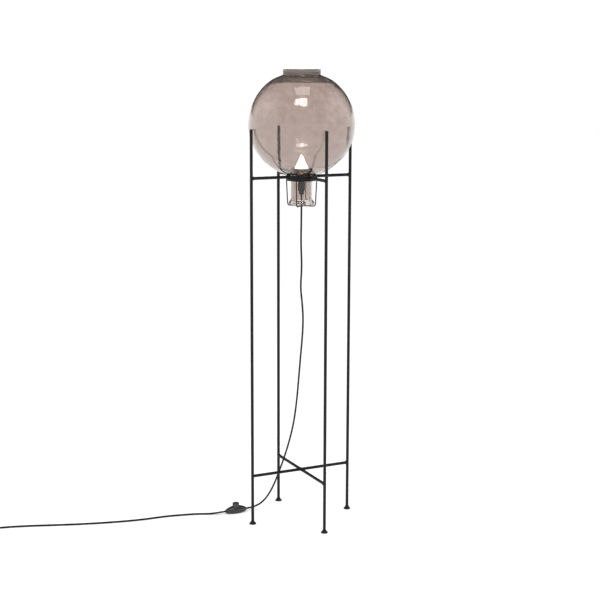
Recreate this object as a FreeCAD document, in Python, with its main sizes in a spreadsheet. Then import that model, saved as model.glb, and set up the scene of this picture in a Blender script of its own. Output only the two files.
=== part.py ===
import FreeCAD, Part
import math
import os
import Sketcher
from FreeCAD import Placement, Rotation, Vector

# Globe floor lamp: a smoked glass globe stands in a slim frame of round steel bar. Four posts on
# small feet carry a low cross and, under the globe, four arms with a seat ring. The globe's neck
# hangs through the ring into a basket of four wires, and a candle bulb stands in a lampholder on a
# spun carrier inside the globe. The cord drops from the neck to a foot switch on the floor.
# Millimetres, +Z up, origin on the floor under the middle of the frame. The posts stand on the
# X and Y axes: left -X, front -Y, right +X, back +Y.

doc = FreeCAD.newDocument("GlobeFloorLamp")
size = doc.addObject("Spreadsheet::Sheet", "size")
worked = doc.addObject("App::VarSet", "worked")
reckoner = doc.addObject("App::VarSet", "reckoner")
reckoner.addProperty("App::PropertyFloat", "amount", "reckoner", "the last formula asked for")

SIZES = {
    "Frame": {
        "post_diameter": 8.0,  # round steel bar of the posts
        "bar_diameter": 8.0,  # round steel bar of the arms and the cross
        "post_height": 1048.5,  # post, from its seat in the foot to its top
        "post_edge": 1.0,  # rounding of a post's top edge
        "post_gap": 0.6,  # air between the globe and each post
        "cross_height": 133.0,  # middle of the low cross above the floor
        "arm_height": 925.0,  # middle of the arms above the floor
        "weld_rise": 1.1,  # how far a weld stands out from its bar
        "weld_length": 4.5,  # length of a weld along its bar
        "weld_gap": 0.05,  # clearance in each coped joint
        "weld_short": 0.5,  # how far short of the other bar's middle a weld stops
    },
    "Seat ring and basket": {
        "ring_radius": 40.0,  # outside of the seat ring
        "ring_wall": 4.0,  # wall of the seat ring
        "ring_height": 14.0,  # height of the seat ring's band
        "ring_edge": 1.0,  # rounding of the seat ring's edges
        "wire_diameter": 3.0,  # basket wire
        "wire_overlap": 12.0,  # length of wire welded down the ring
        "basket_depth": 66.0,  # middle of the wires' floor run below the ring
        "basket_taper": 3.0,  # how much nearer to the middle a wire is at its foot
        "wire_bend": 7.0,  # bend at the foot of a wire, to its middle
        "eye_radius": 7.5,  # cord eye where the wires meet, to its wire's middle
    },
    "Feet": {
        "foot_radius": 9.0,  # foot disc
        "foot_thickness": 3.0,  # foot disc
        "foot_rise": 5.0,  # cone from the disc up to the post
        "foot_collar": 0.9,  # wall of the foot at the top of its cone
        "foot_floor": 1.5,  # foot under the post's end
        "foot_edge": 0.8,  # rounding of the foot disc
        "foot_sweep": 8.0,  # radius of the cone's hollow side
    },
    "Glass": {
        "globe_radius": 138.0,  # outside of the globe
        "glass_wall": 3.5,  # wall of the blown glass
        "seat_gap": 0.3,  # clearance between the globe and its seat
        "shoulder_start": 84.0,  # radius at which the globe flattens to its shoulder
        "rim_radius": 48.5,  # outside of the rim at its top
        "rim_foot": 45.5,  # outside of the rim at its foot
        "rim_wall": 4.0,  # wall of the rim at its foot
        "rim_turn": 3.0,  # hollow between shoulder and rim
        "rim_height": 16.2,  # rim above the shoulder
        "rim_edge": 2.2,  # rounding of the rim's lips
        "neck_radius": 27.8,  # outside of the neck
        "neck_turn": 8.0,  # hollow between globe and neck
        "neck_drop": 77.0,  # end of the neck below the ring's top
        "lip_radius": 31.8,  # outside of the neck's thick lip
        "lip_height": 15.0,  # lip from its end to where it leaves the neck
        "lip_band": 8.2,  # upright side of the lip, from its end
        "lip_edge": 2.0,  # rounding of the lip's end
    },
    "Lampholder": {
        "carrier_sheet": 1.2,  # sheet of the spun carrier
        "carrier_rim": 36.0,  # radius of the carrier's edge on the glass
        "carrier_crown": 26.0,  # radius of the carrier's crown
        "carrier_rise": 6.5,  # crown above the edge
        "carrier_mouth": 20.5,  # radius of the carrier's cup at its mouth
        "carrier_seat": 14.0,  # radius of the cup at its floor
        "carrier_depth": 23.0,  # floor of the cup below the crown
        "sleeve_radius": 9.3,  # lampholder sleeve
        "sleeve_wall": 1.4,  # wall of the sleeve
        "sleeve_drop": 23.0,  # end of the sleeve below the carrier's floor
        "sleeve_round": 2.5,  # rounding of the sleeve's end
        "collar_radius": 12.0,  # collar and ring nut that clamp the carrier
        "collar_height": 2.2,  # collar on the carrier's floor
        "nut_height": 4.0,  # ring nut under the carrier's floor
        "nut_edge": 0.8,  # chamfer of the ring nut
        "holder_fit": 0.2,  # clearance between the lampholder's pieces
        "shell_wall": 0.5,  # brass screw shell
        "shell_height": 17.0,  # brass screw shell
        "contact_radius": 2.5,  # centre contact in the moulded insert
        "contact_depth": 3.0,  # centre contact in the moulded insert
        "grip_radius": 5.6,  # cord grip at its top
        "grip_foot": 3.9,  # cord grip at its foot
        "grip_length": 15.0,  # cord grip below the sleeve
        "grip_band": 3.0,  # upright part of the grip
        "grip_edge": 0.5,  # chamfer of the grip's foot
        "grip_bore": 6.0,  # depth of the cord's hole in the grip
        "grip_spigot": 3.8,  # radius of the grip where it stands in the sleeve
        "cord_fit": 0.15,  # clearance round the cord
    },
    "Bulb": {
        "bulb_radius": 18.5,  # widest radius of the candle bulb
        "bulb_height": 66.0,  # glass above the cap
        "bulb_widest": 16.0,  # height of the widest point above the cap
        "bulb_round": 10.0,  # rounding above the widest point
        "bulb_lean": 0.327,  # sine of the flank's lean to the upright
        "bulb_side": 400.0,  # radius of the flank's slight swell
        "bulb_skirt": 26.0,  # radius of the arc from the cap to the widest point
        "bulb_tip": 3.0,  # radius of the rounded tip
        "bulb_collar": 8.5,  # radius of the glass at the cap
        "bulb_step": 1.5,  # upright edge of the glass at the cap
        "cap_radius": 6.9,  # screw cap
        "cap_height": 16.0,  # screw cap
        "cap_cone": 2.0,  # cone at the cap's foot
        "cap_gap": 0.4,  # clearance of the cap in the screw shell
        "button_radius": 3.6,  # centre contact under the cap
        "button_height": 2.4,  # centre contact under the cap
    },
    "Foot switch": {
        "switch_along": -147.5,  # middle of the switch along X
        "switch_across": 103.5,  # middle of the switch along Y
        "switch_length": 60.0,  # switch from cord to cord
        "switch_radius": 13.0,  # switch body at its middle
        "switch_end": 4.4,  # radius of the switch body at its ends
        "switch_axis": 7.0,  # axis of the switch body above the floor
        "switch_wall": 2.0,  # wall of the cover
        "switch_cavity": 40.0,  # length of the hollow in the cover
        "cord_entry": 3.5,  # depth of the cord's seat in the end of the switch
        "core_way": 1.8,  # radius of the way for the cores, from the seat to the hollow
        "well_depth": 4.6,  # well in the base under the button
        "well_radius": 10.6,  # well in the base under the button
        "push_radius": 9.3,  # push button
        "push_top": 20.5,  # top of the push button above the axis
        "push_edge": 1.2,  # rounding of the push button
        "push_flange": 0.7,  # flange that keeps the button in
        "flange_low": 2.4,  # underside of the flange above the axis
        "flange_height": 1.6,  # flange of the button
        "spring_room": 8.0,  # top of the spring's hole in the button, above the axis
        "spring_hole": 4.6,  # radius of the spring's hole in the button
        "push_gap": 0.3,  # clearance round the button
        "spring_radius": 3.5,  # button spring to its wire's middle
        "spring_wire": 0.7,  # button spring wire
        "spring_turns": 5.0,  # turns of the button spring
        "trough_width": 13.0,  # trough in the base for the cores
        "trough_depth": 4.2,  # trough in the base for the cores
        "block_near": 11.5,  # terminal block from the middle, near end
        "block_length": 6.0,  # terminal block
        "block_width": 11.0,  # terminal block
        "block_height": 6.5,  # terminal block
        "screw_reach": 23.5,  # case screws from the middle
        "screw_radius": 1.3,  # case screw shank
        "screw_head": 2.4,  # case screw head
        "screw_sunk": 1.8,  # height of a screw head
        "screw_length": 7.0,  # case screw
        "screw_point": 1.0,  # point of a case screw
    },
    "Cord": {
        "cord_diameter": 5.0,  # round two-core cord
        "coil_along": -818.0,  # middle of the coil along X
        "coil_across": 222.0,  # middle of the coil along Y
        "coil_inner": 22.0,  # smallest turn of the coil, to the cord's middle
        "coil_pitch": 6.4,  # from one turn to the next beside it
        "coil_layer": 6.0,  # from the lower layer to the upper
        "coil_lead": 5.0,  # straight end of the coil
    },
    "Plug": {
        "plug_reach": 32.0,  # from the coil's last turn to the plug's relief
        "plug_axis": 7.0,  # axis of the plug above the floor
        "plug_taper": 17.0,  # length over which the plug widens
        "relief_length": 22.0,  # tapered strain relief
        "relief_radius": 5.0,  # strain relief at the plug
        "relief_tip": 3.6,  # strain relief at the cord
        "relief_bore": 6.0,  # depth of the cord's hole in the relief
        "plug_length": 34.0,  # flat plug body
        "plug_width": 35.0,  # flat plug body at its pins
        "plug_waist": 17.0,  # flat plug body at the cord
        "plug_thickness": 14.0,  # flat plug body
        "plug_corner": 4.0,  # rounding of the plug body's four corners
        "plug_round": 3.0,  # rounding of the plug body's upper and lower edges
        "pin_spacing": 18.6,  # pins, middle to middle
        "pin_radius": 2.0,  # pin
        "pin_length": 19.0,  # pin outside the body
        "pin_root": 6.0,  # thinner root of a pin, held in the body
        "pin_root_radius": 1.5,  # thinner root of a pin
        "pin_fit": 0.05,  # clearance round a pin's root
    },
}
QUARTER_TURNS_IN = 8
QUARTER_TURNS_CLIMB = 2
QUARTER_TURNS_OUT = 7

# The cord hangs from the lampholder, sways a little, and swings down and back to the switch.
DROP_ROUTE = [
    (0, 0, 884), (0, 0, 820), (-1, 1, 751), (1.5, -0.5, 686), (-2, 1, 634), (2.5, -1, 590),
    (5, -2, 550), (3.5, -1, 502), (-0.5, 2, 446), (-3.5, 7, 384), (-6, 14, 318), (-10, 26, 250),
    (-19, 45, 182), (-34, 61, 118), (-50, 72, 68), (-64, 80.5, 39), (-77, 90, 21),
    (-91, 99.5, 10.5), (-105.5, 103.5, 7), (-120.5, 103.5, 7),
]
# From the switch it lies on the floor, in a long easy bend away from the lamp.
LEAD_ROUTE = [
    (-174.5, 103.5, 7), (-189.5, 103.5, 7), (-205, 108, 5), (-222, 117.5, 2.5),
    (-248, 130, 2.5), (-290, 141, 2.5), (-338, 150, 2.5), (-400, 152, 2.5), (-461, 163, 2.5),
    (-521, 178, 2.5), (-580, 196, 2.5), (-640, 218, 2.5), (-701, 240, 2.5), (-763, 256.8, 2.5),
    (-813, 256.8, 2.5),
]


def fill_sheet():
    """Write the driving dimensions as text, one row each, with the word that names it."""
    row = 1
    for group, entries in SIZES.items():
        size.set(f"A{row}", group)
        row += 1
        for alias, number in entries.items():
            size.set(f"A{row}", alias.replace("_", " "))
            size.set(f"B{row}", str(number))
            size.setAlias(f"B{row}", alias)
            row += 1
    doc.recompute()


def work_out(name, formula, meaning):
    """Keep a size that follows from the driving dimensions, bound by its formula."""
    worked.addProperty("App::PropertyFloat", name, "worked", meaning)
    worked.setExpression(name, formula)
    worked.recompute()


def amount(formula):
    """What a formula of named sizes comes to."""
    reckoner.setExpression("amount", str(formula))
    reckoner.recompute()
    return reckoner.amount


def work_out_sizes():
    """The places that follow from the driving dimensions."""
    work_out("post_radius", "size.post_diameter / 2", "half the bar of the posts")
    work_out("bar_radius", "size.bar_diameter / 2", "half the bar of the arms and the cross")
    work_out("post_circle", "size.globe_radius + size.post_gap + worked.post_radius",
             "posts from the middle")
    work_out("ring_top", "size.arm_height + worked.bar_radius", "top of the seat ring")
    work_out("ring_inner", "size.ring_radius - size.ring_wall", "inside of the seat ring")
    work_out("wire_radius", "size.wire_diameter / 2", "half the wire")
    # The sphere rests on the rounded inner edge of the ring.
    work_out("globe_middle",
             "worked.ring_top - size.ring_edge + sqrt("
             "(size.globe_radius + size.ring_edge + size.seat_gap) ^ 2"
             " - (worked.ring_inner + size.ring_edge) ^ 2)", "middle of the globe")
    # The shoulder is an arc that leaves the sphere in line and is level where the rim begins.
    work_out("shoulder_ring", "size.rim_foot + size.rim_turn", "radius of the shoulder's top")
    work_out("shoulder_share", "size.shoulder_start / size.globe_radius", "sine at its start")
    work_out("shoulder_cosine", "sqrt(1 - worked.shoulder_share ^ 2)", "cosine at its start")
    work_out("shoulder_round", "size.globe_radius - worked.shoulder_ring / worked.shoulder_share",
             "radius of the shoulder's arc")
    work_out("shoulder_middle", "worked.globe_middle"
             " + (size.globe_radius - worked.shoulder_round) * worked.shoulder_cosine",
             "height of the shoulder's middle")
    work_out("shoulder_top", "worked.shoulder_middle + worked.shoulder_round",
             "top of the shoulder")
    # The hollow turn between globe and neck touches both.
    work_out("turn_ring", "size.neck_radius + size.neck_turn", "radius of the turn's middle")
    work_out("turn_height", "worked.globe_middle - sqrt("
             "(size.globe_radius + size.neck_turn) ^ 2 - worked.turn_ring ^ 2)",
             "height of the turn's middle")
    work_out("turn_share", "worked.turn_ring / (size.globe_radius + size.neck_turn)",
             "sine at the turn's start")
    work_out("turn_cosine", "(worked.globe_middle - worked.turn_height)"
             " / (size.globe_radius + size.neck_turn)", "cosine at the turn's start")
    work_out("neck_inner", "size.neck_radius - size.glass_wall", "inside of the neck")
    work_out("neck_end", "worked.ring_top - size.neck_drop", "end of the neck")
    work_out("inner_radius", "size.globe_radius - size.glass_wall", "inside of the globe")
    # The carrier's edge rests on the inside of the globe, round the neck's mouth.
    work_out("carrier_edge", "worked.globe_middle - sqrt(worked.inner_radius ^ 2"
             " - size.carrier_rim ^ 2) + size.seat_gap", "edge of the carrier")
    work_out("carrier_top", "worked.carrier_edge + size.carrier_rise", "crown of the carrier")
    work_out("carrier_floor", "worked.carrier_top - size.carrier_depth", "floor of the cup")
    work_out("bulb_base", "worked.carrier_floor + size.carrier_sheet + size.collar_height"
             " + 2 * size.holder_fit", "underside of the bulb's glass")
    work_out("sleeve_end", "worked.carrier_floor - size.sleeve_drop", "end of the sleeve")
    work_out("shell_inner", "size.cap_radius + size.cap_gap", "inside of the screw shell")
    work_out("shell_outer", "worked.shell_inner + size.shell_wall", "outside of the shell")
    work_out("cap_foot", "worked.bulb_base - size.cap_height", "foot of the screw cap")
    work_out("insert_top", "worked.cap_foot - size.button_height - size.holder_fit",
             "top of the moulded insert")
    work_out("grip_end", "worked.sleeve_end - size.grip_length", "foot of the cord grip")
    work_out("push_hole", "size.push_radius + size.push_gap", "hole for the button")
    work_out("half_length", "size.switch_length / 2", "half the switch")
    # A flat arc through both ends and the middle of the switch.
    work_out("switch_bulge", "(worked.half_length ^ 2"
             " + (size.switch_radius - size.switch_end) ^ 2)"
             " / (2 * (size.switch_radius - size.switch_end))", "radius of the switch's side")
    # The plug widens in an arc that runs into its straight sides.
    work_out("plug_flare", "(size.plug_width - size.plug_waist) / 2", "how much it widens")
    work_out("plug_bend", "(size.plug_taper ^ 2 + worked.plug_flare ^ 2)"
             " / (2 * worked.plug_flare)", "radius of the widening")
    work_out("cavity_half", "size.switch_cavity / 2", "half the hollow")
    work_out("cavity_middle", "size.switch_radius - size.switch_wall", "hollow at its middle")
    work_out("cavity_bulge", "worked.switch_bulge - size.switch_wall", "radius of its side")
    work_out("cavity_end", "worked.cavity_middle - worked.cavity_bulge"
             " + sqrt(worked.cavity_bulge ^ 2 - worked.cavity_half ^ 2)", "hollow at its ends")


def plane_of(body, role):
    """One of a body's own origin planes."""
    return next(p for p in body.Origin.OriginFeatures if p.Role == role)


def new_sketch(body, name, role, offset=None):
    """A sketch on one of the body's own planes, raised by a formula if one is given."""
    sketch = body.newObject("Sketcher::SketchObject", name)
    sketch.AttachmentSupport = [(plane_of(body, role), "")]
    sketch.MapMode = "FlatFace"
    if offset is not None:
        sketch.setExpression("AttachmentOffset.Base.z", offset)
        doc.recompute()
    return sketch


def pin(sketch, geometry, end, across, up):
    """Hold one end of an edge at a place given by two formulas."""
    for kind, formula in (("DistanceX", across), ("DistanceY", up)):
        number = amount(formula)
        if abs(number) < 1e-9:
            axis = -2 if kind == "DistanceX" else -1
            sketch.addConstraint(Sketcher.Constraint("PointOnObject", geometry, end, axis))
            continue
        row = sketch.addConstraint(
            Sketcher.Constraint(kind, -1, 1, geometry, end, number))
        sketch.setExpression(f"Constraints[{row}]", str(formula))


def arc_between(start, end, radius):
    """An arc between two points: a positive radius turns left on the way, a negative right."""
    chord = end - start
    middle = (start + end) * 0.5
    left = Vector(-chord.y, chord.x, 0).normalize()
    side = 1 if radius > 0 else -1
    reach = math.sqrt(max(radius ** 2 - (chord.Length / 2) ** 2, 0))
    centre = middle + left * reach * side
    first, last = (start, end) if radius > 0 else (end, start)
    angles = [math.atan2(p.y - centre.y, p.x - centre.x) for p in (first, last)]
    circle = Part.Circle(centre, Vector(0, 0, 1), abs(radius))
    return Part.ArcOfCircle(circle, angles[0], angles[1])


def outline(sketch, corners):
    """Draw a closed outline through corners (across, up) or (across, up, radius), as formulas.

    A radius bends the edge that arrives at its corner: to the left if it is positive, and to
    the right if it starts with a minus sign.
    """
    points = [Vector(amount(c[0]), amount(c[1]), 0) for c in corners]
    ends = []
    for index, corner in enumerate(corners):
        start, end = points[index - 1], points[index]
        if len(corner) == 2:
            edge = sketch.addGeometry(Part.LineSegment(start, end), False)
            ends.append((edge, 1, 2))
            continue
        radius = amount(corner[2])
        edge = sketch.addGeometry(arc_between(start, end, radius), False)
        ends.append((edge, 1, 2) if radius > 0 else (edge, 2, 1))
    for index, corner in enumerate(corners):
        edge, _, end = ends[index]
        following, start, _ = ends[(index + 1) % len(corners)]
        sketch.addConstraint(
            Sketcher.Constraint("Coincident", edge, end, following, start))
        pin(sketch, edge, end, corner[0], corner[1])
    for index, corner in enumerate(corners):
        if len(corner) == 3:
            edge = ends[index][0]
            radius = amount(corner[2])
            row = sketch.addConstraint(Sketcher.Constraint("Radius", edge, abs(radius)))
            formula = str(corner[2]).lstrip("-")
            sketch.setExpression(f"Constraints[{row}]", formula)


def ring_line(sketch, across, up, radius):
    """Draw a circle whose middle and radius are formulas."""
    middle = Vector(amount(across), amount(up), 0)
    edge = sketch.addGeometry(
        Part.Circle(middle, Vector(0, 0, 1), amount(radius)), False)
    pin(sketch, edge, 3, across, up)
    row = sketch.addConstraint(Sketcher.Constraint("Radius", edge, amount(radius)))
    sketch.setExpression(f"Constraints[{row}]", str(radius))


def new_body(label):
    """A body with its own label."""
    body = doc.addObject("PartDesign::Body", label)
    body.Label = label
    return body


def turned(label, corners, axis="V_Axis", role="XZ_Plane", angle=360):
    """A body turned from one outline about an axis of its sketch."""
    body = new_body(label)
    sketch = new_sketch(body, f"{label}_outline", role)
    outline(sketch, corners)
    turn = body.newObject("PartDesign::Revolution", f"{label}_turn")
    turn.Profile = sketch
    turn.ReferenceAxis = (sketch, [axis])
    turn.Angle = angle
    doc.recompute()
    return body


def cut_round(body, name, role, across, up, radius, depth=None, reverse=False):
    """Cut a round hole: right through both ways, or to a depth from the sketch's plane."""
    sketch = new_sketch(body, f"{name}_circle", role)
    ring_line(sketch, across, up, radius)
    pocket = body.newObject("PartDesign::Pocket", name)
    pocket.Profile = sketch
    if depth is None:
        pocket.Type = "ThroughAll"
        pocket.SideType = "Symmetric"
    else:
        pocket.Type = "Length"
        pocket.setExpression("Length", depth)
        pocket.Reversed = reverse
    doc.recompute()
    return pocket


def round_edges(body, name, formula, chosen):
    """Round the edges of the body's shape that a test picks."""
    tip = body.Tip
    edges = [f"Edge{i + 1}" for i, e in enumerate(tip.Shape.Edges) if chosen(e)]
    fillet = body.newObject("PartDesign::Fillet", name)
    fillet.Base = (tip, edges)
    fillet.setExpression("Radius", formula)
    doc.recompute()
    return fillet


def turn_to(body, degrees):
    """Turn a body about the lamp's upright axis."""
    body.Placement = Placement(Vector(), Rotation(Vector(0, 0, 1), degrees))


SIDES = {"left": 180, "front": 270, "right": 0, "back": 90}
QUARTERS = {"back_right": 45, "back_left": 135, "front_left": 225, "front_right": 315}


def make_post(side, degrees):
    """A plain round post; its foot end is square and its top edge is rounded."""
    post = turned(f"post_{side}", [
        ("0", "0"),
        ("worked.post_radius", "0"),
        ("worked.post_radius", "size.post_height - size.post_edge"),
        ("worked.post_radius - size.post_edge", "size.post_height", "size.post_edge"),
        ("0", "size.post_height"),
    ])
    heading = Vector(math.cos(math.radians(degrees)), math.sin(math.radians(degrees)), 0)
    for axis in "xy":
        share = round(getattr(heading, axis))
        if share:
            post.setExpression(f"Placement.Base.{axis}", f"{share} * worked.post_circle")
    post.setExpression("Placement.Base.z", "size.foot_floor")


def make_foot(side, degrees):
    """A foot: a disc with a cone up to the post, which stands in a blind hole."""
    hole = "worked.post_radius + size.weld_gap"
    foot = turned(f"foot_{side}", [
        ("0", "0"),
        ("size.foot_radius - size.foot_edge", "0"),
        ("size.foot_radius", "size.foot_edge", "size.foot_edge"),
        ("size.foot_radius", "size.foot_thickness - size.foot_edge"),
        ("size.foot_radius - size.foot_edge", "size.foot_thickness", "size.foot_edge"),
        (f"{hole} + size.foot_collar", "size.foot_thickness + size.foot_rise",
         "-size.foot_sweep"),
        (hole, "size.foot_thickness + size.foot_rise"),
        (hole, "size.foot_floor"),
        ("0", "size.foot_floor"),
    ])
    heading = Vector(math.cos(math.radians(degrees)), math.sin(math.radians(degrees)), 0)
    for axis in "xy":
        share = round(getattr(heading, axis))
        if share:
            foot.setExpression(f"Placement.Base.{axis}", f"{share} * worked.post_circle")


def make_bar(label, start, end, start_cope):
    """A bar along +X from a cope to a post, with a weld swelling at each end.

    start_cope is "post" for a bar between two posts, "ring" for an arm and "bar" for half of
    the cross.
    """
    swollen = "worked.bar_radius + size.weld_rise"
    bar = turned(label, [
        (start, "0"),
        (start, swollen),
        (f"{start} + size.weld_length / 3", swollen),
        (f"{start} + size.weld_length", "worked.bar_radius"),
        (f"{end} - size.weld_length - worked.post_radius", "worked.bar_radius"),
        (f"{end} - size.weld_length / 3 - worked.post_radius", swollen),
        (f"{end} - size.weld_short", swollen),
        (f"{end} - size.weld_short", "0"),
    ], axis="H_Axis")
    post_cope = "worked.post_radius + size.weld_gap"
    cut_round(bar, f"{label}_end_cope", "XY_Plane", "worked.post_circle", "0", post_cope)
    if start_cope == "post":
        cut_round(bar, f"{label}_start_cope", "XY_Plane", "-worked.post_circle", "0", post_cope)
    elif start_cope == "ring":
        cut_round(bar, f"{label}_start_cope", "XY_Plane", "0", "0",
                  "size.ring_radius + size.weld_gap")
    else:
        cut_round(bar, f"{label}_start_cope", "XZ_Plane", "0", "0",
                  "worked.bar_radius + size.weld_gap")
    return bar


def make_arm(side, degrees):
    """An upper arm, from the seat ring out to its post."""
    arm = make_bar(f"arm_{side}", "size.ring_radius - size.weld_short", "worked.post_circle",
                   "ring")
    turn_to(arm, degrees)
    arm.setExpression("Placement.Base.z", "size.arm_height")


def make_cross():
    """The low cross: a long bar between the left and right posts, and a half bar each way."""
    long_bar = make_bar("cross_bar_long", "size.weld_short - worked.post_circle",
                        "worked.post_circle", "post")
    long_bar.setExpression("Placement.Base.z", "size.cross_height")
    for side in ("front", "back"):
        half = make_bar(f"cross_bar_{side}", "size.weld_short", "worked.post_circle", "bar")
        turn_to(half, SIDES[side])
        half.setExpression("Placement.Base.z", "size.cross_height")


def make_seat_ring():
    """The seat ring: a short band of flat steel, its edges eased."""
    low = "size.ring_edge - size.ring_height"
    turned("seat_ring", [
        ("worked.ring_inner + size.ring_edge", "-size.ring_height", "size.ring_edge"),
        ("size.ring_radius - size.ring_edge", "-size.ring_height"),
        ("size.ring_radius", low, "size.ring_edge"),
        ("size.ring_radius", "-size.ring_edge"),
        ("size.ring_radius - size.ring_edge", "0", "size.ring_edge"),
        ("worked.ring_inner + size.ring_edge", "0"),
        ("worked.ring_inner", "-size.ring_edge", "size.ring_edge"),
        ("worked.ring_inner", low),
    ]).setExpression("Placement.Base.z", "worked.ring_top")


def make_basket_wire(name, degrees):
    """A basket wire: down the ring's outside, inwards a little, and round under the neck."""
    body = new_body(f"basket_wire_{name}")
    top = "size.ring_radius + worked.wire_radius + size.weld_gap"
    foot = f"{top} - size.basket_taper"
    floor = "-size.basket_depth"
    spine = new_sketch(body, f"{body.Name}_spine", "XZ_Plane")
    inner = "size.eye_radius + worked.wire_radius"
    places = [
        (top, "size.wire_overlap - size.wire_diameter / 2"),
        (top, "0"),
        (foot, f"size.wire_bend + {floor}"),
        (f"{foot} - size.wire_bend", floor),
        (inner, floor),
    ]
    points = [Vector(amount(a), amount(b), 0) for a, b in places]
    edges = [
        sketch_edge(spine, Part.LineSegment(points[0], points[1])),
        sketch_edge(spine, Part.LineSegment(points[1], points[2])),
        sketch_edge(spine, arc_between(points[2], points[3], -amount("size.wire_bend"))),
        sketch_edge(spine, Part.LineSegment(points[3], points[4])),
    ]
    joins = [(edges[0], 2, edges[1], 1), (edges[1], 2, edges[2], 2), (edges[2], 1, edges[3], 1)]
    for join in joins:
        spine.addConstraint(Sketcher.Constraint("Coincident", *join))
    pin(spine, edges[0], 1, *places[0])
    pin(spine, edges[0], 2, *places[1])
    pin(spine, edges[1], 2, *places[2])
    pin(spine, edges[3], 1, *places[3])
    pin(spine, edges[3], 2, *places[4])
    row = spine.addConstraint(
        Sketcher.Constraint("Radius", edges[2], amount("size.wire_bend")))
    spine.setExpression(f"Constraints[{row}]", "size.wire_bend")
    section = new_sketch(body, f"{body.Name}_section", "XY_Plane", places[0][1])
    ring_line(section, top, "0", "worked.wire_radius")
    pipe = body.newObject("PartDesign::AdditivePipe", f"{body.Name}_pipe")
    pipe.Profile = section
    pipe.Spine = (spine, [f"Edge{i + 1}" for i in range(len(edges))])
    doc.recompute()
    turn_to(body, degrees)
    body.setExpression("Placement.Base.z", "worked.ring_top - size.ring_height")


def sketch_edge(sketch, geometry):
    """Add one edge to a sketch and give its number."""
    return sketch.addGeometry(geometry, False)


def make_cord_eye():
    """The small round eye at the basket's floor, which the wires meet and the cord passes."""
    eye = doc.addObject("Part::Torus", "cord_eye")
    eye.Label = "cord_eye"
    eye.setExpression("Radius1", "size.eye_radius")
    eye.setExpression("Radius2", "worked.wire_radius - size.weld_gap")
    eye.setExpression("Placement.Base.z",
                      "worked.ring_top - size.ring_height - size.basket_depth")


def make_globe():
    """The blown globe: neck with a thick lip, sphere, flattened shoulder and upright rim."""
    middle = "worked.globe_middle"
    rim_inner = "size.rim_foot - size.rim_wall"
    top = "worked.shoulder_top + size.rim_height"
    turned("glass_globe", [
        # The lip's end and its outside.
        ("worked.neck_inner", "worked.neck_end + size.lip_edge / 2"),
        ("worked.neck_inner + size.lip_edge / 2", "worked.neck_end", "size.lip_edge / 2"),
        ("size.lip_radius - size.lip_edge", "worked.neck_end"),
        ("size.lip_radius", "worked.neck_end + size.lip_edge", "size.lip_edge"),
        ("size.lip_radius", "worked.neck_end + size.lip_band"),
        ("size.neck_radius", "worked.neck_end + size.lip_height"),
        # The neck's outside, the hollow turn and the sphere.
        ("size.neck_radius", "worked.turn_height"),
        ("worked.turn_share * size.globe_radius",
         f"{middle} - worked.turn_cosine * size.globe_radius", "-size.neck_turn"),
        ("size.globe_radius", middle, "size.globe_radius"),
        ("size.shoulder_start", f"{middle} + worked.shoulder_cosine * size.globe_radius",
         "size.globe_radius"),
        # The shoulder and the rim.
        ("worked.shoulder_ring", "worked.shoulder_top", "worked.shoulder_round"),
        ("size.rim_foot", "worked.shoulder_top + size.rim_turn", "-size.rim_turn"),
        ("size.rim_radius", f"{top} - size.rim_edge * 2"),
        ("size.rim_radius", f"{top} - size.rim_edge"),
        ("size.rim_radius - size.rim_edge", top, "size.rim_edge"),
        (f"{rim_inner} + size.rim_edge", top),
        (rim_inner, f"{top} - size.rim_edge", "size.rim_edge"),
        # Back down the inside.
        (rim_inner, "worked.shoulder_top + size.rim_turn"),
        ("worked.shoulder_ring", "worked.shoulder_top - size.glass_wall",
         f"worked.shoulder_ring - ({rim_inner})"),
        ("worked.shoulder_share * worked.inner_radius",
         f"{middle} + worked.shoulder_cosine * worked.inner_radius",
         "-(worked.shoulder_round - size.glass_wall)"),
        ("worked.inner_radius", middle, "-worked.inner_radius"),
        ("worked.turn_share * worked.inner_radius",
         f"{middle} - worked.turn_cosine * worked.inner_radius", "-worked.inner_radius"),
        ("worked.neck_inner", "worked.turn_height", "size.neck_turn + size.glass_wall"),
    ])


def make_carrier():
    """The spun carrier: a cup for the lampholder under a crown whose edge rests in the globe."""
    hole = "size.sleeve_radius + size.holder_fit"
    sheet = "size.carrier_sheet"
    turned("holder_carrier", [
        (hole, "worked.carrier_floor"),
        ("size.carrier_seat", "worked.carrier_floor"),
        (f"size.carrier_mouth + {sheet}", f"worked.carrier_top - {sheet}"),
        (f"size.carrier_crown - {sheet} / 3", f"worked.carrier_top - {sheet}"),
        (f"size.carrier_rim - {sheet} * 1.6", "worked.carrier_edge"),
        ("size.carrier_rim", "worked.carrier_edge"),
        ("size.carrier_rim", f"worked.carrier_edge + {sheet} / 3"),
        ("size.carrier_crown", "worked.carrier_top"),
        ("size.carrier_mouth", "worked.carrier_top"),
        (f"size.carrier_seat - {sheet}", f"worked.carrier_floor + {sheet}"),
        (hole, f"worked.carrier_floor + {sheet}"),
    ])


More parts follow.
